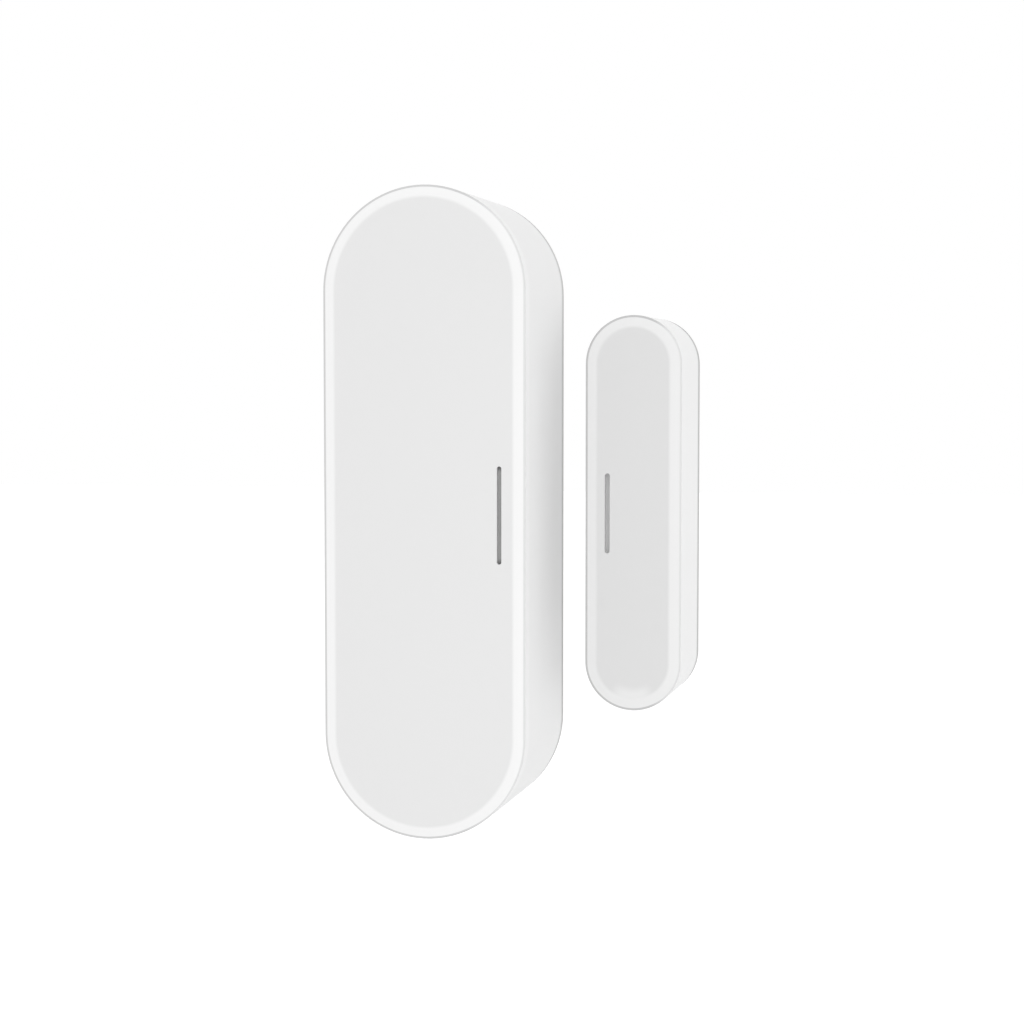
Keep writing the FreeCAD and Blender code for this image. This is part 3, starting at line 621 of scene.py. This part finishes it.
def cell_label():
    """Shrink sleeve of a dry cell: slate grey with a pale band and a stripe at the positive end."""
    material, tree = start_material("cell sleeve")
    low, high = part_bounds("cell_jackets")
    place = axes(tree, object_place(tree))
    towards_positive = times(tree, place["Z"], calculate(tree, "SIGN", place["X"]), -1.0)
    band = remap(tree, towards_positive, high.z - LABEL_BAND[0], high.z - LABEL_BAND[1])
    stripe = calculate(tree, "COMPARE", towards_positive, high.z - LABEL_STRIPE[0], LABEL_STRIPE[1])
    slate = drifting(tree, LABEL_SLATE, 0.15, 6 * MM)
    silver = drifting(tree, LABEL_SILVER, 0.1, 6 * MM)
    printed = mix_colours(tree, calculate(tree, "MAXIMUM", band, stripe), slate, silver)
    ripple = noise(tree, object_place(tree), LABEL_RIPPLE, 3.0)
    round_side = effect(tree, column_normal, Half_Distance=high.x - (high.y - low.y) / 2,
                        Depth=(low.y + high.y) / 2)["Normal"]
    normal = bump(tree, ripple, 0.01 * MM, under=round_side)
    return finished(material, printed, vary(tree, ripple, 0.12, 0.2), normal)


def solder_mask():
    """Green circuit board: traces under the mask, plated holes, bare glass fibre on its cut edges."""
    material, tree = start_material("solder mask")
    place = object_place(tree)
    across = axes(tree, place)
    inputs = {"Vector": vector(tree, across["X"], across["Z"]), **TRACES}
    traces = add(tree, "ShaderNodeTexBrick", inputs, offset=0.37, offset_frequency=3,
                 squash=0.6, squash_frequency=5).outputs["Fac"]
    dots = add(tree, "ShaderNodeTexVoronoi", {"Vector": place, "Scale": 1 / VIA_STEP}).outputs
    at_via = calculate(tree, "LESS_THAN", dots["Distance"], VIA_RADIUS / VIA_STEP)
    kept = calculate(tree, "GREATER_THAN", axes(tree, dots["Color"])["X"], 1 - VIA_SHARE)
    on_edge = calculate(tree, "LESS_THAN", amount_of(tree, axes(tree, object_normal(tree))["Y"]), 0.5)
    vias = times(tree, at_via, kept)
    tinted = drifting(tree, mix_colours(tree, traces, MASK_GREEN, TRACE_GREEN), 0.1, 8 * MM)
    tinted = mix_colours(tree, vias, tinted, TINNED)
    tinted = mix_colours(tree, on_edge, tinted, GLASS_FIBRE)
    roughness = vary(tree, noise(tree, place, 0.6 * MM, 3.0), 0.15, 0.33)
    metallic = times(tree, vias, minus(tree, 1.0, on_edge))
    return finished(material, tinted, roughness, bump(tree, traces, TRACE_HEIGHT), metallic)


def module_board():
    """Black radio module with gold half-holes along its two long edges."""
    material, tree = start_material("radio module black")
    low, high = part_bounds("radio_module_board")
    place = axes(tree, object_place(tree))
    from_middle = amount_of(tree, minus(tree, place["X"], (low.x + high.x) / 2))
    at_edge = calculate(tree, "GREATER_THAN", from_middle, (high.x - low.x) / 2 - MODULE_PAD_REACH)
    in_step = calculate(tree, "PINGPONG", minus(tree, place["Z"], low.z), MODULE_PAD_PITCH / 2)
    pads = times(tree, at_edge, calculate(tree, "GREATER_THAN", in_step, MODULE_PAD_GAP))
    tinted = mix_colours(tree, pads, drifting(tree, MODULE_BLACK, 0.2, 5 * MM), GOLD)
    grain = noise(tree, object_place(tree), 0.5 * MM, 3.0)
    normal = rounded_bump(tree, grain, 0.01 * MM, 0.08 * MM)
    return finished(material, tinted, vary(tree, grain, 0.15, 0.36), normal, pads)


def leaded_package(name, body, roughness):
    """Moulded or ceramic body with tinned leads or ends, which carry the value 1 in the attribute metal."""
    material, tree = start_material(name)
    metal = add(tree, "ShaderNodeAttribute", attribute_name="metal").outputs["Fac"]
    tinted = mix_colours(tree, metal, drifting(tree, body, 0.12, 2 * MM), TINNED_LEAD)
    surface = effect(tree, fine_grain, Size=0.09 * MM, Roughness=roughness, Spread=0.15)
    smoother = calculate(tree, "MULTIPLY_ADD", metal, -0.2, surface["Roughness"])
    normal = rounded_bump(tree, surface["Height"], 0.004 * MM, 0.07 * MM)
    return finished(material, tinted, smoother, normal, metal)


def led_lens():
    material, tree = start_material("lamp lens")
    milk = noise(tree, object_place(tree), 0.8 * MM, 3.0)
    tinted = mix_colours(tree, milk, LENS_PALE, LENS_DEEP)
    normal = rounded_bump(tree, milk, 0.01 * MM, 0.15 * MM)
    return finished(material, tinted, vary(tree, milk, 0.1, 0.16), normal,
                    Transmission_Weight=0.35, Coat_Weight=0.4)


def reed_tube_glass():
    """Pale green glass tube, thicker and wavier where it was melted on to the leads."""
    material, tree = start_material("reed tube glass")
    place = object_place(tree)
    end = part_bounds("reed_glass")[1].z
    melted = remap(tree, amount_of(tree, axes(tree, place)["Z"]), end * REED_MELT, end)
    waves = noise(tree, place, 1.2 * MM)
    tinted = mix_colours(tree, melted, GLASS_PALE, GLASS_THICK)
    roughness = remap(tree, waves, *NOISE_SPAN, 0.01, 0.06)
    rippled = bump(tree, waves, 0.03 * MM)
    return finished(material, tinted, roughness, rippled, Transmission_Weight=1.0, IOR=1.5)


# ---- Metals ----
def plated_metal(name, colour, roughness, stretch=(1.0, 1.0, 0.03), size=0.12 * MM, wear=0.5):
    material, tree = start_material(name)
    surface = effect(tree, hairlines, Stretch=stretch, Size=size, Roughness=roughness, Spread=0.22)
    tinted = worn_colour(tree, colour, 0.14, 3 * MM, wear, 0.1 * MM)
    normal = rounded_bump(tree, surface["Height"], 0.0015 * MM, 0.08 * MM)
    return finished(material, tinted, surface["Roughness"], normal, 1.0)


contact_metal = plated_metal("nickel contact strip", (0.66, 0.64, 0.60, 1), 0.3)
cell_steel = plated_metal("cell end steel", (0.70, 0.70, 0.69, 1), 0.24, (1, 1, 1), 0.3 * MM)
reed_metal = plated_metal("reed nickel iron", (0.60, 0.57, 0.53, 1), 0.34)
screw_zinc = plated_metal("zinc plated screw", (0.62, 0.64, 0.67, 1), 0.3, (1, 0.2, 1), 0.15 * MM, 0.8)
button_plastic = moulded_plastic("button grey", grey(0.34), 0.5)
pad_foam = foam_tape()
chip_package = leaded_package("chip package", grey(0.028), 0.55)
ceramic_package = leaded_package("ceramic chip part", (0.30, 0.19, 0.10, 1), 0.4)

finishes = {
    "sensor_front_cover": cover_plastic(
        "sensor cover white", "sensor_front_cover", FACE_WHITE, BEVEL_HIGHLIGHT_WHITE, EDGE_PAINTED_SHADE, right_shade_share=0.55),
    "sensor_light_pipe": smoked_window(),
    "sensor_housing": housing_plastic("sensor housing white", "sensor_housing", SIDE_LIT_WHITE),
    "sensor_back_plate": plate_plastic("back plate white", "sensor_back_plate"),
    "battery_holder": moulded_plastic("holder plastic", grey(0.60, 0.98), 0.5, 0.25 * MM, 0.006 * MM),
    "cell_jackets": cell_label(),
    "cell_positive_caps": cell_steel,
    "cell_negative_ends": cell_steel,
    "positive_contact_plate": contact_metal,
    "negative_contact_plate": contact_metal,
    "link_contact_plate": contact_metal,
    "circuit_board": solder_mask(),
    "radio_module_board": module_board(),
    "radio_shield_can": plated_metal("shield can tin", (0.68, 0.68, 0.66, 1), 0.3, (0.05, 1, 1), 0.14 * MM),
    "indicator_led": led_lens(),
    "tact_switch_base": moulded_plastic("switch black", grey(0.03), 0.42, 0.12 * MM),
    "tact_switch_plunger": button_plastic,
    "pairing_button": button_plastic,
    "reed_glass": reed_tube_glass(),
    "reed_fixed_blade": reed_metal,
    "reed_upper_lead": reed_metal,
    "reed_moving_blade": reed_metal,
    "magnet_front_cover": cover_plastic(
        "magnet cover white", "magnet_front_cover", MAGNET_FACE_SHADED_WHITE, MAGNET_BEVEL_HIGHLIGHT_WHITE, MAGNET_EDGE_PAINTED_SHADE,
        right_shade_share=0.35, low_highlight=0.8),
    "magnet_housing": housing_plastic(
        "magnet housing white", "magnet_housing", MAGNET_SIDE_LIT_WHITE, reach=1.2, weight=1.25),
    "magnet_back_plate": plate_plastic("magnet plate white", "magnet_back_plate"),
    "bar_magnet": plated_metal("magnet nickel", (0.64, 0.63, 0.61, 1), 0.22, (1, 1, 0.3), 0.25 * MM, 0.7),
}
for node_name, finish in finishes.items():
    cad[node_name].data.materials[0] = finish


# ---- Building shapes ----
def start_tree(name, inputs):
    return start_nodes("GeometryNodeTree", name, inputs, {"Geometry": "NodeSocketGeometry"})


def gathered(tree, *parts):
    """The parts as one geometry."""
    join = add(tree, "GeometryNodeJoinGeometry")
    for part in parts:
        tree.links.new(part, join.inputs[0])
    return join.outputs[0]


def end_tree(tree, given, out, geometry, smooth=True):
    """Makes every copy real, shades it and gives it its finish."""
    real = made(tree, "GeometryNodeRealizeInstances", {0: geometry})
    shaded = made(tree, "GeometryNodeSetShadeSmooth", {0: real, "Shade Smooth": smooth})
    painted = add(tree, "GeometryNodeSetMaterial", {"Geometry": shaded, "Material": given["Finish"]})
    feed(tree, out["Geometry"], painted.outputs[0])
    return tree


def moved(tree, geometry, place=ORIGIN, turn=ORIGIN):
    inputs = {"Geometry": geometry, "Translation": place, "Rotation": turn}
    return made(tree, "GeometryNodeTransform", inputs)


def copies(tree, points, part, turn=ORIGIN):
    return made(tree, "GeometryNodeInstanceOnPoints", {"Points": points, "Instance": part, "Rotation": turn})


def block(tree, x, y, z):
    return made(tree, "GeometryNodeMeshCube", {"Size": vector(tree, x, y, z)})


def circle(tree, resolution, radius):
    return made(tree, "GeometryNodeCurvePrimitiveCircle", {"Resolution": resolution, "Radius": radius})


def swept(tree, path, section, **inputs):
    inputs = {"Curve": path, "Profile Curve": section, "Fill Caps": True, **inputs}
    return made(tree, "GeometryNodeCurveToMesh", inputs)


def stepped_line(tree, end, count):
    """Straight line from the origin, and how far along it each of its points lies, from 0 to 1."""
    line = made(tree, "GeometryNodeCurvePrimitiveLine", {"End": end})
    steps = made(tree, "GeometryNodeResampleCurve", {"Curve": line, "Count": count})
    return steps, add(tree, "GeometryNodeSplineParameter").outputs["Factor"]


def marked_metal(tree, geometry):
    inputs = {"Geometry": geometry, "Name": "metal", "Value": 1.0}
    return made(tree, "GeometryNodeStoreNamedAttribute", inputs, data_type="FLOAT")


def upright_grid(tree, columns, rows, step_x, step_z, centre):
    """Points in the plane of the board, centred on a place."""
    across = times(tree, minus(tree, columns, 1.0), step_x)
    up = times(tree, minus(tree, rows, 1.0), step_z)
    inputs = {"Size X": across, "Size Y": up, "Vertices X": columns, "Vertices Y": rows}
    grid = made(tree, "GeometryNodeMeshGrid", inputs)
    return moved(tree, grid, centre, (math.pi / 2, 0, 0))


def new_piece(name, mesh):
    piece = bpy.data.objects.new(name, mesh)
    bpy.context.scene.collection.objects.link(piece)
    return piece


def grow(name, tree, values):
    """Plain mesh object from a tree, with its named inputs set."""
    seed = bpy.data.meshes.new(name)
    piece = new_piece(name, seed)
    modifier = piece.modifiers.new(name, "NODES")
    modifier.node_group = tree
    for item in tree.interface.items_tree:
        if item.in_out == "INPUT" and item.name in values:
            modifier[item.identifier] = values[item.name]
    graph = bpy.context.evaluated_depsgraph_get()
    plain = bpy.data.meshes.new_from_object(piece.evaluated_get(graph))
    piece.modifiers.clear()
    piece.data = plain
    bpy.data.meshes.remove(seed)
    plain.name = name
    plain.materials.clear()
    plain.materials.append(values["Finish"])
    plain.polygons.foreach_set("material_index", [0] * len(plain.polygons))
    return piece


def stand_for(piece, node, body):
    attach(piece, body)
    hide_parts(node)


# ---- Contact springs ----
def make_spring_tree():
    """Two compression springs with closed ends that taper from the plate at z 0 towards the cell. The
    near one hangs down from its plate."""
    sizes = {**SPRING, "Height": 0.0035, "Place": ORIGIN, "Far Place": ORIGIN, "Finish": None}
    tree, given, out = start_tree("contact spring", sizes)
    steps, factor = stepped_line(tree, (0, 0, 1), SPRING_STEPS)
    turn = times(tree, factor, given["Turns"])
    angle = times(tree, turn, 2 * math.pi)
    wire = times(tree, given["Wire Radius"], 2.0)
    closed = calculate(tree, "MULTIPLY_ADD", turn, wire, given["Wire Radius"])
    touching = calculate(tree, "MULTIPLY_ADD", given["Turns"], wire, wire)
    spare = minus(tree, given["Height"], touching)
    last_free = minus(tree, given["Turns"], 1.0)
    rise = times(tree, remap(tree, turn, 1.0, last_free), spare)
    taper = minus(tree, given["Cell Coil"], given["Plate Coil"])
    radius = calculate(tree, "MULTIPLY_ADD", factor, taper, given["Plate Coil"])
    place = vector(tree, times(tree, radius, calculate(tree, "COSINE", angle)),
                   times(tree, radius, calculate(tree, "SINE", angle)), calculate(tree, "ADD", closed, rise))
    path = made(tree, "GeometryNodeSetPosition", {"Geometry": steps, "Position": place})
    coil = swept(tree, path, circle(tree, SPRING_SIDES, given["Wire Radius"]))
    near = moved(tree, coil, given["Place"], (math.pi, 0, 0))
    far = moved(tree, coil, given["Far Place"])
    return end_tree(tree, given, out, gathered(tree, near, far))


def make_springs():
    low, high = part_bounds("negative_contact_springs")
    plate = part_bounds("negative_contact_plate")
    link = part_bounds("link_contact_plate")
    cell_x = (plate[0].x + plate[1].x) / 2
    cell_y = (low.y + high.y) / 2
    cell_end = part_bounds("cell_negative_ends")[1].z
    piece = grow("coiled_contact_springs", make_spring_tree(), {
        **SPRING, "Height": plate[0].z - cell_end, "Place": (cell_x, cell_y, plate[0].z),
        "Far Place": (-cell_x, cell_y, link[1].z), "Finish": contact_metal})
    stand_for(piece, "negative_contact_springs", "sensor_unit")


# ---- Board screws ----
def make_screw_head(tree, given):
    """Pan head that stands on z 0, with a cross recess in its top."""
    steps, factor = stepped_line(tree, vector(tree, z=given["Head Height"]), SCREW_HEAD_STEPS)
    late, far = SCREW_DOME
    dome = calculate(tree, "MULTIPLY_ADD", calculate(tree, "POWER", factor, late), -far, 1.0)
    ring = circle(tree, SCREW_HEAD_SIDES, given["Head Radius"])
    head = swept(tree, steps, ring, Scale=calculate(tree, "SQRT", dome))
    top = vector(tree, z=given["Head Height"])
    deep = times(tree, given["Recess Depth"], 2.0)
    long, wide = given["Recess Length"], given["Recess Width"]
    for x, y in ((long, wide), (wide, long)):
        slot = moved(tree, block(tree, x, y, deep), top)
        head = made(tree, "GeometryNodeMeshBoolean", {"Mesh 1": head, "Mesh 2": slot}, operation="DIFFERENCE")
    return head


def make_screw_shank(tree, given):
    """Rod, pointed tip and thread, which hang down from z 0."""
    root = times(tree, given["Shank Radius"], SCREW_ROOT)
    point = times(tree, given["Shank Radius"], SCREW_POINT)
    straight = minus(tree, given["Shank Length"], point)
    rod = made(tree, "GeometryNodeMeshCylinder", {"Vertices": SCREW_SIDES, "Radius": root, "Depth": straight})
    rod = moved(tree, rod, vector(tree, z=times(tree, straight, -0.5)))
    inputs = {"Vertices": SCREW_SIDES, "Radius Top": root, "Depth": point,
              "Radius Bottom": times(tree, root, SCREW_TIP)}
    tip = made(tree, "GeometryNodeMeshCone", inputs)
    tip = moved(tree, tip, vector(tree, z=times(tree, given["Shank Length"], -1.0)))
    threaded = times(tree, straight, SCREW_THREADED)
    ridge = times(tree, given["Shank Radius"], SCREW_RIDGE)
    crest = minus(tree, given["Shank Radius"], ridge)
    helix = made(tree, "GeometryNodeCurveSpiral", {
        "Resolution": SCREW_THREAD_STEPS, "Rotations": calculate(tree, "DIVIDE", threaded, given["Pitch"]),
        "Start Radius": crest, "End Radius": crest, "Height": threaded})
    upright = made(tree, "GeometryNodeSetCurveNormal", {"Curve": helix}, mode="Z_UP")
    thread = swept(tree, upright, circle(tree, SCREW_RIDGE_SIDES, ridge))
    thread = moved(tree, thread, vector(tree, z=times(tree, straight, -SCREW_THREAD_END)))
    return rod, tip, thread


def make_screw_tree():
    """Cross head screws with a rolled thread. Heads face the back, on a 2 by 2 grid."""
    tree, given, out = start_tree("board screw", {
        **SCREW, "Shank Length": 0.0077, "Step X": 0.012, "Step Z": 0.06, "Centre": ORIGIN, "Finish": None})
    screw = gathered(tree, make_screw_head(tree, given), *make_screw_shank(tree, given))
    points = upright_grid(tree, 2, 2, given["Step X"], given["Step Z"], given["Centre"])
    return end_tree(tree, given, out, copies(tree, points, screw, (-math.pi / 2, 0, 0)), smooth=False)


def make_screws():
    low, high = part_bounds("board_screws")
    seat = high.y - SCREW["Head Height"]
    head = 2 * SCREW["Head Radius"]
    piece = grow("cross_head_screws", make_screw_tree(), {
        **SCREW, "Shank Length": seat - low.y, "Step X": high.x - low.x - head,
        "Step Z": high.z - low.z - head, "Centre": (0, seat, 0), "Finish": screw_zinc})
    stand_for(piece, "board_screws", "sensor_unit")


# ---- Parts on the board ----
def make_package_tree():
    """Moulded chip with tinned leads down both long sides, on the front of the board."""
    sizes = {"Width": 0.003, "Length": 0.003, "Height": 0.001, "Lead": CHIP_LEAD, "Leads": 4}
    tree, given, out = start_tree("chip package shape", {**sizes, "Place": ORIGIN, "Finish": None})
    body = block(tree, given["Width"], given["Height"], given["Length"])
    body = moved(tree, body, vector(tree, y=times(tree, given["Height"], -0.5)))
    lead = marked_metal(tree, block(tree, given["Lead"], given["Lead"], given["Lead"]))
    pitch = calculate(tree, "DIVIDE", given["Length"], given["Leads"])
    first = times(tree, minus(tree, given["Length"], pitch), -0.5)
    beside = times(tree, calculate(tree, "ADD", given["Width"], given["Lead"]), 0.5)
    down = times(tree, given["Lead"], -0.5)
    rows = []
    for side in (-1.0, 1.0):
        start = vector(tree, times(tree, beside, side), down, first)
        inputs = {"Count": given["Leads"], "Start Location": start, "Offset": vector(tree, z=pitch)}
        rows.append(copies(tree, made(tree, "GeometryNodeMeshLine", inputs), lead))
    chip = moved(tree, gathered(tree, body, *rows), given["Place"])
    return end_tree(tree, given, out, chip, smooth=False)


def join_pieces(name, parts):
    """One plain mesh object out of several, which go. The attribute metal is carried over."""
    places = []
    faces = []
    metal = []
    for part in parts:
        first = len(places)
        places.extend(vertex.co.copy() for vertex in part.data.vertices)
        faces.extend([first + index for index in face.vertices] for face in part.data.polygons)
        metal.extend(point.value for point in part.data.attributes["metal"].data)
    joined = bpy.data.meshes.new(name)
    joined.from_pydata(places, [], faces)
    joined.attributes.new("metal", "FLOAT", "POINT").data.foreach_set("value", metal)
    joined.materials.append(parts[0].data.materials[0])
    for part in parts:
        bpy.data.objects.remove(part)
    return new_piece(name, joined)


def make_chips():
    tree = make_package_tree()
    board_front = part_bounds("circuit_board")[0].y
    parts = []
    for number, (x, z, width, length, height) in enumerate(CHIPS):
        parts.append(grow("chip_%d" % number, tree, {
            "Width": width * MM, "Length": length * MM, "Height": height * MM, "Lead": CHIP_LEAD,
            "Leads": 2 + round(length), "Place": (x * MM, board_front, z * MM), "Finish": chip_package}))
    stand_for(join_pieces("leaded_chips", parts), "small_chips", "sensor_unit")


def make_passive_tree():
    """Rows of ceramic chip parts with tinned ends, on the front of the board."""
    sizes = {**PASSIVE, "Step X": 0.0024, "Step Z": 0.003, "Centre": ORIGIN, "Finish": None}
    tree, given, out = start_tree("chip part rows", sizes)
    slim = times(tree, given["Width"], PASSIVE_BODY)
    low = times(tree, given["Height"], PASSIVE_BODY)
    both_ends = times(tree, given["End Length"], 2.0)
    body = block(tree, slim, low, minus(tree, given["Length"], both_ends))
    cap = marked_metal(tree, block(tree, given["Width"], given["Height"], given["End Length"]))
    reach = times(tree, minus(tree, given["Length"], given["End Length"]), 0.5)
    upper = moved(tree, cap, vector(tree, z=reach))
    lower = moved(tree, cap, vector(tree, z=times(tree, reach, -1.0)))
    points = upright_grid(tree, given["Columns"], given["Rows"], given["Step X"], given["Step Z"],
                          given["Centre"])
    parts = copies(tree, points, gathered(tree, body, upper, lower))
    return end_tree(tree, given, out, parts, smooth=False)


def make_passives():
    low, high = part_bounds("chip_passives")
    step_x = (high.x - low.x - PASSIVE["Width"]) / (PASSIVE["Columns"] - 1)
    step_z = (high.z - low.z - PASSIVE["Length"]) / (PASSIVE["Rows"] - 1)
    piece = grow("ceramic_chip_parts", make_passive_tree(), {
        **PASSIVE, "Step X": step_x, "Step Z": step_z, "Centre": (low + high) / 2,
        "Finish": ceramic_package})
    stand_for(piece, "chip_passives", "sensor_unit")


# ---- Foam pads ----
def pad_outline(radius, half_straight):
    """Points round a capsule, in order, evenly spaced."""
    straight = 2 * half_straight
    half_way = straight + math.pi * radius
    points = []
    for i in range(FOAM_POINTS):
        s = i / FOAM_POINTS * 2 * half_way
        side = 1 if s < half_way else -1
        s %= half_way
        if s < straight:
            x, z = radius, s - half_straight
        else:
            angle = (s - straight) / radius
            x, z = radius * math.cos(angle), half_straight + radius * math.sin(angle)
        points.append((side * x, side * z))
    return points


def pad_rings(mesh, low, high, seed):
    """Rings of points from face to face, a little inside the outline and furthest out between the faces."""
    centre = (low + high) / 2
    radius = (high.x - low.x) / 2
    rng = random.Random(seed)
    waves = [(rng.uniform(0, 2 * math.pi), rng.randint(*FOAM_WAVE_COUNTS)) for _ in range(FOAM_WAVES)]
    outline = pad_outline(radius, (high.z - low.z) / 2 - radius)
    rings = []
    for level in range(FOAM_LAYERS + 1):
        part = level / FOAM_LAYERS
        y = low.y + (high.y - low.y) * part
        waist = FOAM_WAIST - math.sin(math.pi * part)
        ring = []
        for i, (x, z) in enumerate(outline):
            turn = 2 * math.pi * i / FOAM_POINTS
            ripple = sum(math.sin(phase + count * turn + FOAM_TWIST * level) for phase, count in waves)
            wander = waist + 0.5 + 0.5 * ripple / FOAM_WAVES + rng.random() * FOAM_NICK
            step = FOAM_WANDER * wander / radius
            up = math.copysign(min(abs(z), radius) * step, z)
            ring.append(mesh.verts.new((centre.x + x * (1 - step), y, centre.z + z - up)))
        rings.append(ring)
    return rings


def make_pad(name, node, body, seed):
    """Die-cut foam pad, whose cut edge wanders a little and bulges."""
    low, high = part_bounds(node)
    centre = (low + high) / 2
    mesh = bmesh.new()
    rings = pad_rings(mesh, low, high, seed)
    after = [(i + 1) % FOAM_POINTS for i in range(FOAM_POINTS)]
    for lower, upper in zip(rings, rings[1:]):
        for i, j in enumerate(after):
            mesh.faces.new((lower[i], upper[i], upper[j], lower[j]))
    for ring, y in ((rings[0], low.y), (rings[-1], high.y)):
        middle = mesh.verts.new((centre.x, y, centre.z))
        for i, j in enumerate(after):
            mesh.faces.new((middle, ring[i], ring[j]))
    bmesh.ops.recalc_face_normals(mesh, faces=mesh.faces)
    data = bpy.data.meshes.new(name)
    mesh.to_mesh(data)
    mesh.free()
    data.materials.append(pad_foam)
    piece = new_piece(name, data)
    stand_for(piece, node, body)


make_springs()
make_screws()
make_chips()
make_passives()
make_pad("sensor_foam_pad", "sensor_adhesive_pad", "wall_plate", 3)
make_pad("magnet_foam_pad", "magnet_adhesive_pad", "magnet_unit", 4)


# ---- Studio ----
def sees_background(tree):
    """1 for rays that should meet a white background: from the camera, or by way of gloss or glass."""
    path = add(tree, "ShaderNodeLightPath").outputs
    direct = calculate(tree, "ADD", path["Is Camera Ray"], path["Is Glossy Ray"])
    return calculate(tree, "ADD", direct, path["Is Transmission Ray"], clamp=True)


def make_world():
    world = bpy.data.worlds.new("studio")
    world.use_nodes = True
    tree = world.node_tree
    background = next(n for n in tree.nodes if n.type == "BACKGROUND")
    background.inputs["Color"].default_value = grey(1.0)
    direction = axes(tree, add(tree, "ShaderNodeTexCoord").outputs["Generated"])
    to_right = calculate(tree, "MAXIMUM", direction["X"], 0.0)
    dome = calculate(tree, "MULTIPLY_ADD", to_right, -WORLD_RIGHT_DROP, WORLD_LEVEL)
    inputs = {0: sees_background(tree), 2: dome, 3: 1.0}
    feed(tree, background.inputs["Strength"], made(tree, "ShaderNodeMix", inputs, data_type="FLOAT"))
    bpy.context.scene.world = world


def make_floor():
    half = FLOOR_SIZE / 2
    mesh = bpy.data.meshes.new("floor")
    corners = [(-half, -half), (half, -half), (half, half), (-half, half)]
    mesh.from_pydata([(x, y, FLOOR_LEVEL) for x, y in corners], [], [(0, 1, 2, 3)])
    floor = new_piece("floor", mesh)
    material, tree = start_material("pale floor")
    tone = remap(tree, noise(tree, object_place(tree), FLOOR_CLOUD), *NOISE_SPAN, *FLOOR_TONES)
    glow = times(tree, sees_background(tree), FLOOR_GLOW)
    mesh.materials.append(finished(material, tone, 0.9, Emission_Strength=glow, Emission_Color=grey(1.0)))


def make_lamp(name, place, size, watts):
    light = bpy.data.lights.new(name, "AREA")
    light.shape = "DISK"
    light.size = size
    light.energy = watts
    lamp = new_piece(name, light)
    lamp.location = place
    middle = (Vector(part_box[0]) + Vector(part_box[1])) / 2
    lamp.rotation_euler = (middle - Vector(place)).to_track_quat("-Z", "Y").to_euler()


def make_camera():
    camera = new_piece("camera", bpy.data.cameras.new("camera"))
    camera.location = CAMERA_PLACE
    camera.rotation_euler = Euler((math.radians(90 - CAMERA_ELEVATION), 0.0, math.radians(CAMERA_AZIMUTH)))
    camera.data.lens = CAMERA_LENS
    camera.data.sensor_width = CAMERA_SENSOR
    camera.data.clip_start = CAMERA_NEAR
    bpy.context.scene.camera = camera


make_world()
make_floor()
for lamp_name, lamp_facts in LAMPS.items():
    make_lamp(lamp_name, *lamp_facts)
make_camera()
bpy.context.scene.view_settings.view_transform = "Standard"
